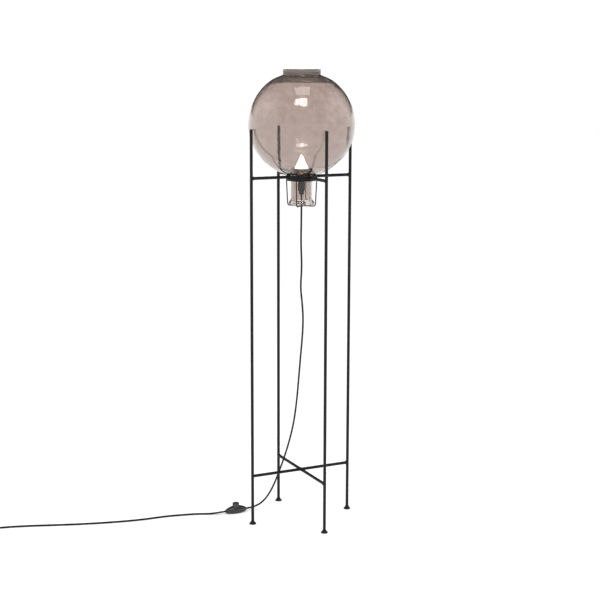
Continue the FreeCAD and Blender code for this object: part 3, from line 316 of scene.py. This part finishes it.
def flare(start, end, steps):
    """From one radius and height to another: the height is even, the radius eases across."""
    share = np.linspace(0, 1, steps)
    return np.column_stack([start[0] + (end[0] - start[0]) * ease(share),
                            start[1] + (end[1] - start[1]) * share])


def globe_profile():
    """The closed outline of the glass wall, from the neck's end up the outside and back down.

    The sphere rests on the seat ring. Its widest place and all above it stand lower than a true
    sphere's by the drop, which eases away below to nothing at the neck's turn, and near the rim
    it is let down a little more.
    """
    end, top = (corner[2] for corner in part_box("glass_globe"))
    middle = (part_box("seat_ring")[1][2] - SEAT_EDGE
              + math.sqrt(SEAT_REACH ** 2 - SEAT_RADIUS ** 2))
    widest = middle - GLOBE_DROP
    turn_ring = NECK_RADIUS + NECK_TURN
    turn_height = middle - math.sqrt((GLOBE_RADIUS + NECK_TURN) ** 2 - turn_ring ** 2)
    low_angle = math.degrees(math.atan2(turn_height - middle, turn_ring))
    rim_ring = RIM_FOOT + RIM_TURN
    high_angle = math.degrees(math.acos(rim_ring / (GLOBE_RADIUS + RIM_TURN)))
    rim_start = (widest - RIM_DROP
                 + math.sqrt((GLOBE_RADIUS + RIM_TURN) ** 2 - rim_ring ** 2))
    inner = GLOBE_RADIUS - GLASS_WALL
    neck_inner = NECK_RADIUS - GLASS_WALL
    rim_inner = RIM_FOOT - GLASS_WALL
    half = LIP_EDGE / 2

    def lower_half(radius, start, finish):
        run = arc((0, middle), radius, start, finish, 70)
        share = (run[:, 1] - turn_height) / (middle - turn_height)
        return run - np.column_stack([0 * share, GLOBE_DROP * ease(share)])

    def upper_half(radius, start, finish):
        run = arc((0, widest), radius, start, finish, 60)
        share = (RIM_DROP_START - run[:, 0]) / (RIM_DROP_START - rim_ring)
        return run - np.column_stack([0 * share, RIM_DROP * ease(share)])

    runs = [
        arc((neck_inner + half, end + half), half, 180, 270, 5),
        arc((LIP_RADIUS - LIP_EDGE, end + LIP_EDGE), LIP_EDGE, 270, 360, 6),
        flare((LIP_RADIUS, end + LIP_BAND), (NECK_RADIUS, end + LIP_HEIGHT), 12),
        line((NECK_RADIUS, end + LIP_HEIGHT + NECK_FOOT_GAP), (NECK_RADIUS, turn_height), 16),
        arc((turn_ring, turn_height), NECK_TURN, 180, low_angle + 180, 12)[1:],
        lower_half(GLOBE_RADIUS, low_angle, 0)[1:],
        upper_half(GLOBE_RADIUS, 0, high_angle)[1:],
        arc((rim_ring, rim_start), RIM_TURN, high_angle + 180, 180, 6)[1:],
        line((RIM_FOOT, rim_start), (RIM_RADIUS, top - RIM_EDGE * 2), 6)[1:],
        arc((RIM_RADIUS - RIM_EDGE, top - RIM_EDGE), RIM_EDGE, 0, 90, 7),
        arc((rim_inner + RIM_EDGE, top - RIM_EDGE), RIM_EDGE, 90, 180, 7),
        line((rim_inner, top - RIM_EDGE * 2), (rim_inner, rim_start), 6),
        arc((rim_ring, rim_start), RIM_TURN + GLASS_WALL, 180, high_angle + 180, 9)[1:],
        upper_half(inner, high_angle, 0)[1:],
        lower_half(inner, 0, low_angle)[1:],
        arc((turn_ring, turn_height), NECK_TURN + GLASS_WALL, low_angle + 180, 180, 12)[1:],
        line((neck_inner, turn_height - NECK_TOP_GAP), (neck_inner, end + half * 2), 16),
    ]
    return np.vstack(runs)


def make_smoked_glass():
    """Clear brown glass with a slowly changing tint and skin, and a painted reflection: a dark
    band under its rim that stands for the dark surround seen in the glass there.
    """
    material, tree, shader = new_material("smoked_glass", Roughness=0.0, IOR=1.5,
                                          Transmission_Weight=1.0)
    place = add_node(tree, "ShaderNodeTexCoord")
    split = add_node(tree, "ShaderNodeSeparateXYZ")
    waves = add_node(tree, "ShaderNodeTexNoise", {"Scale": 24.0, "Detail": 2.0, "Roughness": 0.5})
    mottle = add_node(tree, "ShaderNodeTexNoise", {"Scale": 60.0, "Detail": 5.0, "Roughness": 0.6})
    stretch = add_node(tree, "ShaderNodeMapRange", {"From Min": 0.35, "From Max": 0.65})
    for texture in (waves, mottle):
        tree.links.new(place.outputs["Object"], texture.inputs["Vector"])
    tree.links.new(place.outputs["Object"], split.inputs["Vector"])
    tree.links.new(mottle.outputs["Fac"], stretch.inputs["Value"])
    colour = mix_colours(tree, stretch.outputs["Result"], GLASS_TINT_PALE, GLASS_TINT_DEEP)
    # The first tint is a painted reflection, a dark band under the rim; the second is the rim's
    # own deeper tint.
    for start, full, tint in ((PAINTED_REFLECTION_START, PAINTED_REFLECTION_FULL, GLASS_PAINTED_REFLECTION_TINT),
                              (RIM_START, RIM_FULL, GLASS_TINT_RIM)):
        rise = add_node(tree, "ShaderNodeMapRange", {"From Min": start, "From Max": full})
        tree.links.new(split.outputs["Z"], rise.inputs["Value"])
        colour = mix_colours(tree, rise.outputs["Result"], colour, tint)
    tree.links.new(colour, shader.inputs["Base Color"])
    raise_bump(tree, shader, waves.outputs["Fac"], *GLASS_WAVES)
    return material


globe_points, globe_faces = turn_profile(globe_profile(), GLOBE_SIDES)
globe = new_piece("globe_glass", globe_points, globe_faces, make_smoked_glass(), "globe")
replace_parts(globe, "glass_globe")


# ---- Carrier, lampholder and cord grip ---------------------------------------------------
# The carrier is a truncated cone of spun sheet metal with a cup in it; its dull grey brown is
# painted light, the bulb's glow on dark sheet metal. The lampholder's sleeve, ring nut and grip
# are black moulded plastic round a drawn brass screw shell on a pale moulded insert. The cup's
# floor is clamped between the sleeve and its nut.

CARRIER_SHEET = 0.0012
CARRIER_EDGE_DEPTH = 0.0065
CARRIER_RISE = 0.014
CARRIER_RIM = 0.036
CARRIER_CROWN = 0.026
CARRIER_MOUTH = 0.0228
CARRIER_SEAT = 0.014
CARRIER_EASE = 0.0005
SLEEVE_RADIUS = 0.0093
SLEEVE_WALL = 0.0014
SLEEVE_ROUND = 0.0012
SLEEVE_EXTRA = 0.0062
COLLAR_RADIUS = 0.012
COLLAR_HEIGHT = 0.0022
GRIP_RADIUS = 0.0066
GRIP_FOOT = 0.006
GRIP_BAND = 0.0025
GRIP_EASE = 0.0006
GRIP_SPIGOT = 0.0038
GRIP_BORE = 0.00265
HOLDER_FIT = 0.0002
HOLDER_SIDES = 96


def eased_corners(corners, easing, steps=4):
    """A closed outline whose corners are rounded.

    Each corner c gives way to (1-t)^2 a + 2t(1-t) c + t^2 b, where a and b lie on its two sides
    at the easing from it, or at two fifths of a side that is shorter.
    """
    corners = np.array(corners, float)

    def towards(others):
        step = others - corners
        length = np.linalg.norm(step, axis=1, keepdims=True)
        return corners + step / length * np.minimum(easing, 0.4 * length)

    first, last = towards(np.roll(corners, 1, axis=0)), towards(np.roll(corners, -1, axis=0))
    share = np.linspace(0, 1, steps)[None, :, None]
    bends = ((1 - share) ** 2 * first[:, None] + 2 * share * (1 - share) * corners[:, None]
             + share ** 2 * last[:, None])
    return bends.reshape(-1, 2)


def turned_ring(name, corners, easing, material, replaced):
    """A ring of one wall, turned from its eased corners, that stands for a CAD node."""
    points, faces = turn_profile(eased_corners(corners, easing), HOLDER_SIDES)
    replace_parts(new_piece(name, points, faces, material, "globe"), replaced)


holder_plastic = skin_material("holder_plastic", (0.006, 0.006, 0.006, 1),
                               (0.011, 0.011, 0.011, 1), (0.42, 0.56), 2200.0, (0.2, 0.00015),
                               Specular_IOR_Level=0.3)
# Painted light: this grey brown stands for the bulb's light on the dark carrier.
carrier_bulb_lit_metal = skin_material("carrier_bulb_lit_metal", (0.20, 0.175, 0.16, 1), (0.30, 0.265, 0.24, 1),
                              (0.34, 0.46), 900.0, (0.08, 0.0002), Metallic=0.8)

cup_floor, carrier_high = (corner[2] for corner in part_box("holder_carrier"))
edge = carrier_high - CARRIER_EDGE_DEPTH
crown = edge + CARRIER_RISE
hole = SLEEVE_RADIUS + HOLDER_FIT
turned_ring("carrier", [
    (hole, cup_floor), (CARRIER_SEAT, cup_floor),
    (CARRIER_MOUTH + CARRIER_SHEET, crown - CARRIER_SHEET),
    (CARRIER_CROWN - CARRIER_SHEET, crown - CARRIER_SHEET),
    (CARRIER_RIM - CARRIER_SHEET, edge), (CARRIER_RIM, edge),
    (CARRIER_CROWN, crown), (CARRIER_MOUTH, crown),
    (CARRIER_SEAT - CARRIER_SHEET, cup_floor + CARRIER_SHEET),
    (hole, cup_floor + CARRIER_SHEET),
], CARRIER_EASE, carrier_bulb_lit_metal, "holder_carrier")

sleeve_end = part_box("holder_sleeve")[0][2] - SLEEVE_EXTRA
collar = cup_floor + CARRIER_SHEET + HOLDER_FIT
spigot_hole = GRIP_SPIGOT + HOLDER_FIT / 2
turned_ring("sleeve", [
    (spigot_hole, sleeve_end), (SLEEVE_RADIUS, sleeve_end),
    (SLEEVE_RADIUS, collar), (COLLAR_RADIUS, collar),
    (COLLAR_RADIUS, collar + COLLAR_HEIGHT),
    (SLEEVE_RADIUS - SLEEVE_WALL, collar + COLLAR_HEIGHT),
    (SLEEVE_RADIUS - SLEEVE_WALL, sleeve_end + SLEEVE_WALL),
    (spigot_hole, sleeve_end + SLEEVE_WALL),
], SLEEVE_ROUND, holder_plastic, "holder_sleeve")

grip_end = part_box("cord_grip")[0][2]
turned_ring("cord_gland", [
    (GRIP_BORE, grip_end), (GRIP_FOOT, grip_end),
    (GRIP_RADIUS, sleeve_end - GRIP_BAND), (GRIP_RADIUS, sleeve_end),
    (GRIP_SPIGOT, sleeve_end), (GRIP_SPIGOT, sleeve_end + SLEEVE_WALL),
    (GRIP_BORE, sleeve_end + SLEEVE_WALL),
], GRIP_EASE, holder_plastic, "cord_grip")

finish_nodes(holder_plastic, ["holder_ring_nut"])
finish_nodes(skin_material("holder_insert", (0.74, 0.72, 0.68, 1), (0.82, 0.80, 0.76, 1),
                           (0.45, 0.6), 1800.0, (0.1, 0.0001)),
             ["holder_insert", "switch_terminal_block"])
finish_nodes(skin_material("drawn_brass", (0.60, 0.43, 0.17, 1), (0.80, 0.62, 0.30, 1),
                           (0.22, 0.4), 1500.0, (0.05, 0.0001), Metallic=1.0),
             ["holder_screw_shell", "holder_contact"])


# ---- Candle bulb ------------------------------------------------------------------------
# A candle bulb of opal glass, lit from within so that it is white all over, on a nickel-plated
# screw cap.

BULB_RADIUS = 0.0192
BULB_WIDEST = 0.0214
BULB_HEIGHT = 0.0615
BULB_ROUND = 0.0095
BULB_TIP = 0.003
BULB_COLLAR = 0.0085
BULB_STEP = 0.0015
BULB_LEAN = 24.4
BULB_SIDES = 96
OPAL_WARM = (0.95, 0.94, 0.92, 1)
OPAL_WHITE = (1.0, 0.99, 0.97, 1)


def capped_faces(rows, sides):
    """Faces of a closed skin over rows of points, with one more point at each end.

    Four-sided faces join each row to the next, and a fan of triangles joins the first and the
    last row to the two points that come after all the rows.
    """
    row, side = np.meshgrid(np.arange(rows - 1), np.arange(sides), indexing="ij")
    after = (side + 1) % sides
    quads = np.stack([row * sides + side, row * sides + after, (row + 1) * sides + after,
                      (row + 1) * sides + side], axis=-1).reshape(-1, 4)
    side = np.arange(sides)
    after = (side + 1) % sides
    first, last, top = rows * sides, rows * sides + 1, (rows - 1) * sides
    fans = [np.column_stack([np.full(sides, first), after, side]),
            np.column_stack([np.full(sides, last), top + side, top + after])]
    return quads.tolist() + np.vstack(fans).tolist()


def turn_solid(profile, sides):
    """Points and faces of an open profile whose two ends lie on the upright axis.

    Its inner rows turn as (r cos a, r sin a, z) with even a.
    """
    rows = profile[1:-1]
    angle = np.linspace(0, 2 * np.pi, sides, endpoint=False)
    ring = np.stack([rows[:, :1] * np.cos(angle), rows[:, :1] * np.sin(angle),
                     rows[:, 1:] + 0 * angle], axis=-1).reshape(-1, 3)
    poles = [[0, 0, profile[0, 1]], [0, 0, profile[-1, 1]]]
    return np.vstack([ring, poles]), capped_faces(len(rows), sides)


def bulb_profile(base):
    """From the middle of the base out to the collar, round the skirt and up the flank to the tip.

    The skirt is an arc from the collar to the widest place, upright there; a smaller arc leads on
    to the straight flank, which leans in and touches the round tip.
    """
    out, rise = BULB_RADIUS - BULB_COLLAR, BULB_WIDEST - BULB_STEP
    skirt = (out ** 2 + rise ** 2) / (2 * out)
    start = -math.degrees(math.asin(rise / skirt))
    widest = base + BULB_WIDEST
    return np.vstack([
        [(0, base)], line((BULB_COLLAR / 2, base), (BULB_COLLAR, base), 2),
        arc((BULB_RADIUS - skirt, widest), skirt, start, 0, 28),
        arc((BULB_RADIUS - BULB_ROUND, widest), BULB_ROUND, 0, BULB_LEAN, 8)[1:],
        arc((0, base + BULB_HEIGHT - BULB_TIP), BULB_TIP, BULB_LEAN, 90, 9)[:-1],
        [(0, base + BULB_HEIGHT)],
    ])


def make_opal_glass():
    """Opal glass that glows almost evenly, in two close whites."""
    material, tree, shader = new_material("opal_glass", Roughness=0.25, Coat_Weight=0.5,
                                          Coat_Roughness=0.05, Emission_Strength=3.0)
    skin = place_group(tree, GRAIN, Grain=500.0, Clouds=60.0)
    for socket in ("Base Color", "Emission Color"):
        tree.links.new(mix_colours(tree, skin.outputs["Cloud"], OPAL_WARM, OPAL_WHITE),
                       shader.inputs[socket])
    return material


bulb_points, bulb_faces = turn_solid(bulb_profile(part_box("bulb_glass")[0][2]), BULB_SIDES)
bulb = new_piece("candle_bulb", bulb_points, bulb_faces, make_opal_glass(), "globe")
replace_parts(bulb, "bulb_glass")
finish_nodes(skin_material("nickel", (0.55, 0.54, 0.52, 1), (0.72, 0.71, 0.69, 1),
                           (0.18, 0.32), 1200.0, (0.04, 0.0001), Metallic=1.0),
             ["bulb_cap", "bulb_contact", "plug_pins"])


# ---- Foot switch ------------------------------------------------------------------------
# A spindle-shaped in-line switch: two moulded black halves with two screws, a round push button,
# and inside a steel spring and a pale terminal block.

finish_nodes(skin_material("switch_plastic", (0.016, 0.016, 0.017, 1), (0.026, 0.026, 0.027, 1),
                           (0.26, 0.38), 1600.0, (0.12, 0.00012), scuffs=0.35),
             ["switch_cover", "switch_base"])
finish_nodes(skin_material("button_plastic", (0.024, 0.024, 0.025, 1), (0.036, 0.036, 0.037, 1),
                           (0.2, 0.34), 1600.0, (0.1, 0.0001)), ["switch_button"])
finish_nodes(skin_material("bright_steel", (0.42, 0.42, 0.42, 1), (0.62, 0.62, 0.62, 1),
                           (0.2, 0.36), 1200.0, (0.05, 0.0001), Metallic=1.0),
             ["switch_screws", "switch_spring"])


# ---- Mains cord and plug ------------------------------------------------------------------
# A round two-core cord with a smooth black jacket, moulded flat plug and relief. It hangs from the
# grip, swings to the switch, runs on away from the lamp, and what the photograph doesn't show is
# wound into a coil of two layers. Places are in metres.

CORD_DIAMETER = 0.005
CORD_SIDES = 24
TUBE_REFERENCE = (0.3, 1, 0)
LEAST_STEP = 1e-6
DROP_ROUTE = [
    (0, 0, 0.884), (0, 0, 0.820), (-0.001, 0.001, 0.751), (0.0015, -0.0005, 0.686),
    (-0.002, 0.001, 0.634), (0.0025, -0.001, 0.590), (0.005, -0.002, 0.550),
    (0.0035, -0.001, 0.502), (-0.0005, 0.002, 0.446), (-0.0035, 0.007, 0.384),
    (-0.006, 0.014, 0.318), (-0.010, 0.026, 0.250), (-0.019, 0.045, 0.182),
    (-0.034, 0.061, 0.118), (-0.050, 0.072, 0.068), (-0.064, 0.0805, 0.039),
    (-0.077, 0.090, 0.021), (-0.091, 0.0995, 0.0105), (-0.1055, 0.1035, 0.007),
    (-0.1205, 0.1035, 0.007),
]
LEAD_ROUTE = [
    (-0.1745, 0.1035, 0.007), (-0.1895, 0.1035, 0.007), (-0.205, 0.108, 0.005),
    (-0.222, 0.1175, 0.0025), (-0.248, 0.130, 0.0025), (-0.290, 0.141, 0.0025),
    (-0.338, 0.150, 0.0025), (-0.400, 0.152, 0.0025), (-0.461, 0.163, 0.0025),
    (-0.521, 0.178, 0.0025), (-0.580, 0.196, 0.0025), (-0.640, 0.218, 0.0025),
    (-0.701, 0.240, 0.0025), (-0.763, 0.2568, 0.0025),
]
COIL_MIDDLE = (-0.818, 0.222)
COIL_INNER = 0.022
COIL_PITCH = 0.0064
COIL_LAYER = 0.006
COIL_START = 0.25
TURNS_IN, TURNS_CLIMB, TURNS_OUT = 2.0, 0.5, 1.75
POINTS_PER_TURN = 24
PLUG_REACH = 0.032
PLUG_AXIS = 0.007
RELIEF_BORE = 0.00585


def coil_route():
    """The coil's points: in at a steady rate, up a layer at the smallest turn, and out again.

    At a turn t the radius is the inner one plus the pitch times the turns still to go in, or
    times the turns gone out, and the height eases from the lower layer to the upper. The first
    point lies a quarter turn from the X axis.
    """
    total = TURNS_IN + TURNS_CLIMB + TURNS_OUT
    turn = np.linspace(0, total, int(total * POINTS_PER_TURN) + 1)
    inward = np.clip(TURNS_IN - turn, 0, None)
    outward = np.clip(turn - TURNS_IN - TURNS_CLIMB, 0, None)
    radius = COIL_INNER + COIL_PITCH * (inward + outward)
    height = CORD_DIAMETER / 2 + COIL_LAYER * ease((turn - TURNS_IN) / TURNS_CLIMB)
    angle = 2 * np.pi * (turn + COIL_START)
    return np.column_stack([COIL_MIDDLE[0] + radius * np.cos(angle),
                            COIL_MIDDLE[1] + radius * np.sin(angle), height])


def end_route(last):
    """From the coil's last point, straight on and down a little into the plug's relief.

    Each point lies a step farther along -Y and has come down by a share of the way to the plug's
    axis.
    """
    steps = np.array([0.006, 0.014, 0.024, PLUG_REACH, PLUG_REACH + RELIEF_BORE])
    shares = np.array([0.0, 0.08, 0.92, 1.0, 1.0])
    return np.column_stack([np.full(len(steps), last[0]), last[1] - steps,
                            last[2] - shares * (last[2] - PLUG_AXIS)])


def draw_line(name, route):
    """A smooth curve without thickness whose control points are the route."""
    curve = bpy.data.curves.new(name, "CURVE")
    curve.dimensions = "3D"
    spline = curve.splines.new("NURBS")
    spline.points.add(len(route) - 1)
    weights = np.ones((len(route), 1))
    spline.points.foreach_set("co", np.hstack([np.array(route, float), weights]).ravel())
    spline.order_u = 3
    spline.use_endpoint_u = True
    spline.resolution_u = 8
    return bpy.data.objects.new(name, curve)


def read_line(route):
    """Points along a route's smooth curve, each apart from the one before."""
    drawn = draw_line("route", route)
    mesh = bpy.data.meshes.new_from_object(drawn)
    points = np.empty(len(mesh.vertices) * 3)
    mesh.vertices.foreach_get("co", points)
    points = points.reshape(-1, 3)
    bpy.data.meshes.remove(mesh)
    bpy.data.curves.remove(drawn.data)
    apart = np.linalg.norm(np.diff(points, axis=0), axis=1) > LEAST_STEP
    return points[np.append(True, apart)]


def tube(path, radius, sides):
    """Points and faces of a round closed tube along a path.

    Round each point of the path the ring is radius times (cos a along a side plus sin a along
    an up), where the side is square to the path and to one fixed direction that the path never
    takes, and the up is square to both. Each end closes on the path's own last point.
    """
    tangent = np.gradient(path, axis=0)
    tangent /= np.linalg.norm(tangent, axis=1, keepdims=True)
    across = np.cross(TUBE_REFERENCE, tangent)
    across /= np.linalg.norm(across, axis=1, keepdims=True)
    up = np.cross(tangent, across)
    angle = np.linspace(0, 2 * np.pi, sides, endpoint=False)[None, :, None]
    rings = path[:, None] + radius * (np.cos(angle) * across[:, None]
                                      + np.sin(angle) * up[:, None])
    points = np.vstack([rings.reshape(-1, 3), path[[0, -1]]])
    return points, capped_faces(len(path), sides)


jacket = skin_material("cord_jacket", (0.0035, 0.0035, 0.0035, 1), (0.007, 0.007, 0.007, 1),
                       (0.34, 0.48), 900.0, (0.1, 0.0001), clouds=60.0, Specular_IOR_Level=0.22)
hanging_path = read_line(DROP_ROUTE)
hanging_points, hanging_faces = tube(hanging_path, CORD_DIAMETER / 2, CORD_SIDES)
hanging = new_piece("hanging_cord", hanging_points, hanging_faces, jacket, None)
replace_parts(hanging, "cord_drop")
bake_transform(hanging)

wound = coil_route()
lead = draw_line("floor_cord", np.vstack([LEAD_ROUTE, wound, end_route(wound[-1])]))
lead.data.bevel_depth = CORD_DIAMETER / 2
lead.data.bevel_resolution = 5
lead.data.use_fill_caps = True
lead.data.materials.append(jacket)
bpy.context.scene.collection.objects.link(lead)
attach(lead, "frame")
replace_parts(lead, "cord_lead", "cord_coil")
finish_nodes(skin_material("plug_plastic", (0.014, 0.014, 0.014, 1), (0.022, 0.022, 0.022, 1),
                           (0.4, 0.55), 1800.0, (0.15, 0.00015)), ["plug_relief", "plug_body"])


# ---- Floor, light and camera --------------------------------------------------------------
# A plain white studio floor and a white surround, which gloss and glass see dark from in front of
# the lamp over it to behind it, with soft panels that show in the glass.

FLOOR_HALF = 30.0
FLOOR_WHITE = (0.93, 0.93, 0.93, 1)
floor_mesh = bpy.data.meshes.new("floor")
floor_mesh.from_pydata([(-FLOOR_HALF, -FLOOR_HALF, 0), (FLOOR_HALF, -FLOOR_HALF, 0),
                        (FLOOR_HALF, FLOOR_HALF, 0), (-FLOOR_HALF, FLOOR_HALF, 0)], [],
                       [(0, 1, 2, 3)])
floor_material, _, floor_shader = new_material("floor_white", Roughness=0.9,
                                               Specular_IOR_Level=0.0)
floor_shader.inputs["Base Color"].default_value = FLOOR_WHITE
floor_mesh.materials.append(floor_material)
floor = bpy.data.objects.new("floor", floor_mesh)
bpy.context.scene.collection.objects.link(floor)

SURROUND_WHITE = 1.12
SURROUND_DARK = 0.10
HORIZON_LOW = 0.05
HORIZON_HIGH = 0.09
SIDEWAYS = (0.8992, -0.4375, 0)
SIDE_DARK = 0.58
SIDE_WHITE = 0.84
FORWARD = (-0.4375, -0.8992, 0)
GLOW_EDGE = 0.35
GLOW_STRENGTH = 0.85


def make_surround():
    """White for what is seen directly and for soft light; in gloss and glass, dark overhead.

    The dark part is a band from in front of the lamp over it to behind it. Both sides of the
    studio stay white, and a soft glow lies behind the camera.
    """
    world = bpy.data.worlds.new("studio")
    bpy.context.scene.world = world
    world.use_nodes = True
    tree = world.node_tree
    background = tree.nodes["Background"]
    place = add_node(tree, "ShaderNodeTexCoord")
    split = add_node(tree, "ShaderNodeSeparateXYZ")
    rise = add_node(tree, "ShaderNodeMapRange",
                    {"From Min": HORIZON_LOW, "From Max": HORIZON_HIGH})
    along = add_node(tree, "ShaderNodeVectorMath", operation="DOT_PRODUCT")
    along.inputs[1].default_value = SIDEWAYS
    aside = add_node(tree, "ShaderNodeMath", operation="ABSOLUTE")
    fade = add_node(tree, "ShaderNodeMapRange",
                    {"From Min": SIDE_DARK, "From Max": SIDE_WHITE, "To Min": 1.0, "To Max": 0.0})
    shade = add_node(tree, "ShaderNodeMath", operation="MULTIPLY")
    fall = add_node(tree, "ShaderNodeMapRange",
                    {"To Min": SURROUND_WHITE, "To Max": SURROUND_DARK})
    ahead = add_node(tree, "ShaderNodeVectorMath", operation="DOT_PRODUCT")
    ahead.inputs[1].default_value = FORWARD
    glow = add_node(tree, "ShaderNodeMapRange",
                    {"From Min": GLOW_EDGE, "From Max": 1.0, "To Max": GLOW_STRENGTH},
                    interpolation_type="SMOOTHSTEP")
    lit = add_node(tree, "ShaderNodeMath", operation="MAXIMUM")
    path = add_node(tree, "ShaderNodeLightPath")
    soft = add_node(tree, "ShaderNodeMath", operation="MAXIMUM")
    mix = add_node(tree, "ShaderNodeMix", data_type="FLOAT")
    mix.inputs[3].default_value = SURROUND_WHITE
    tree.links.new(place.outputs["Generated"], split.inputs["Vector"])
    tree.links.new(place.outputs["Generated"], along.inputs[0])
    tree.links.new(split.outputs["Z"], rise.inputs["Value"])
    tree.links.new(along.outputs["Value"], aside.inputs[0])
    tree.links.new(aside.outputs["Value"], fade.inputs["Value"])
    tree.links.new(rise.outputs["Result"], shade.inputs[0])
    tree.links.new(fade.outputs["Result"], shade.inputs[1])
    tree.links.new(shade.outputs["Value"], fall.inputs["Value"])
    tree.links.new(path.outputs["Is Camera Ray"], soft.inputs[0])
    tree.links.new(path.outputs["Is Diffuse Ray"], soft.inputs[1])
    tree.links.new(soft.outputs["Value"], mix.inputs["Factor"])
    tree.links.new(place.outputs["Generated"], ahead.inputs[0])
    tree.links.new(ahead.outputs["Value"], glow.inputs["Value"])
    tree.links.new(fall.outputs["Result"], lit.inputs[0])
    tree.links.new(glow.outputs["Result"], lit.inputs[1])
    tree.links.new(lit.outputs["Value"], mix.inputs[2])
    tree.links.new(mix.outputs[0], background.inputs["Strength"])
    background.inputs["Color"].default_value = (1, 1, 1, 1)


def hang_panel(name, azimuth, elevation, distance, width, height, radiance):
    """A soft panel that faces the globe from an azimuth round the camera's side.

    Azimuth 0 is the camera's own side, and positive turns to the picture's right.
    """
    light = bpy.data.lights.new(name, "AREA")
    light.shape = "RECTANGLE"
    light.size, light.size_y = width, height
    light.energy = radiance * math.pi * width * height
    panel = bpy.data.objects.new(name, light)
    bpy.context.scene.collection.objects.link(panel)
    turn = math.radians(azimuth) + CAMERA_TURN
    lift = math.radians(elevation)
    away = np.array([math.sin(turn) * math.cos(lift), -math.cos(turn) * math.cos(lift),
                     math.sin(lift)])
    panel.matrix_world = (
        Matrix.Translation(np.array([0, 0, PANEL_AIM]) + away * distance)
        @ Matrix.Rotation(turn, 4, "Z") @ Matrix.Rotation(math.radians(90) - lift, 4, "X"))


CAMERA_PLACE = (-1.51196, -3.1027, 1.2361)
CAMERA_TURN = math.radians(-25.927)
CAMERA_TILT = math.radians(90 - 10.465)
CAMERA_ROLL = math.radians(0.147)
CAMERA_LENS = 79.656
CAMERA_SENSOR = 36
CAMERA_REACH = 200
PANEL_AIM = 1.062
PANELS = [
    # name, azimuth and elevation in degrees, distance, width, height, radiance
    ("window_left_pane", -11, 49.5, 2.6, 0.62, 0.72, 9.0),
    ("window_right_pane", 5.5, 49.5, 2.6, 0.68, 0.84, 9.0),
    ("overhead", 5, 77, 2.4, 1.1, 0.9, 2.5),
]

make_surround()
for panel in PANELS:
    hang_panel(*panel)

camera_data = bpy.data.cameras.new("camera")
camera_data.lens = CAMERA_LENS
camera_data.sensor_width = CAMERA_SENSOR
camera_data.clip_end = CAMERA_REACH
camera = bpy.data.objects.new("camera", camera_data)
bpy.context.scene.collection.objects.link(camera)
camera.matrix_world = (Matrix.Translation(CAMERA_PLACE) @ Matrix.Rotation(CAMERA_TURN, 4, "Z")
                       @ Matrix.Rotation(CAMERA_TILT, 4, "X")
                       @ Matrix.Rotation(CAMERA_ROLL, 4, "Z"))
bpy.context.scene.camera = camera
bpy.context.scene.view_settings.view_transform = "Standard"
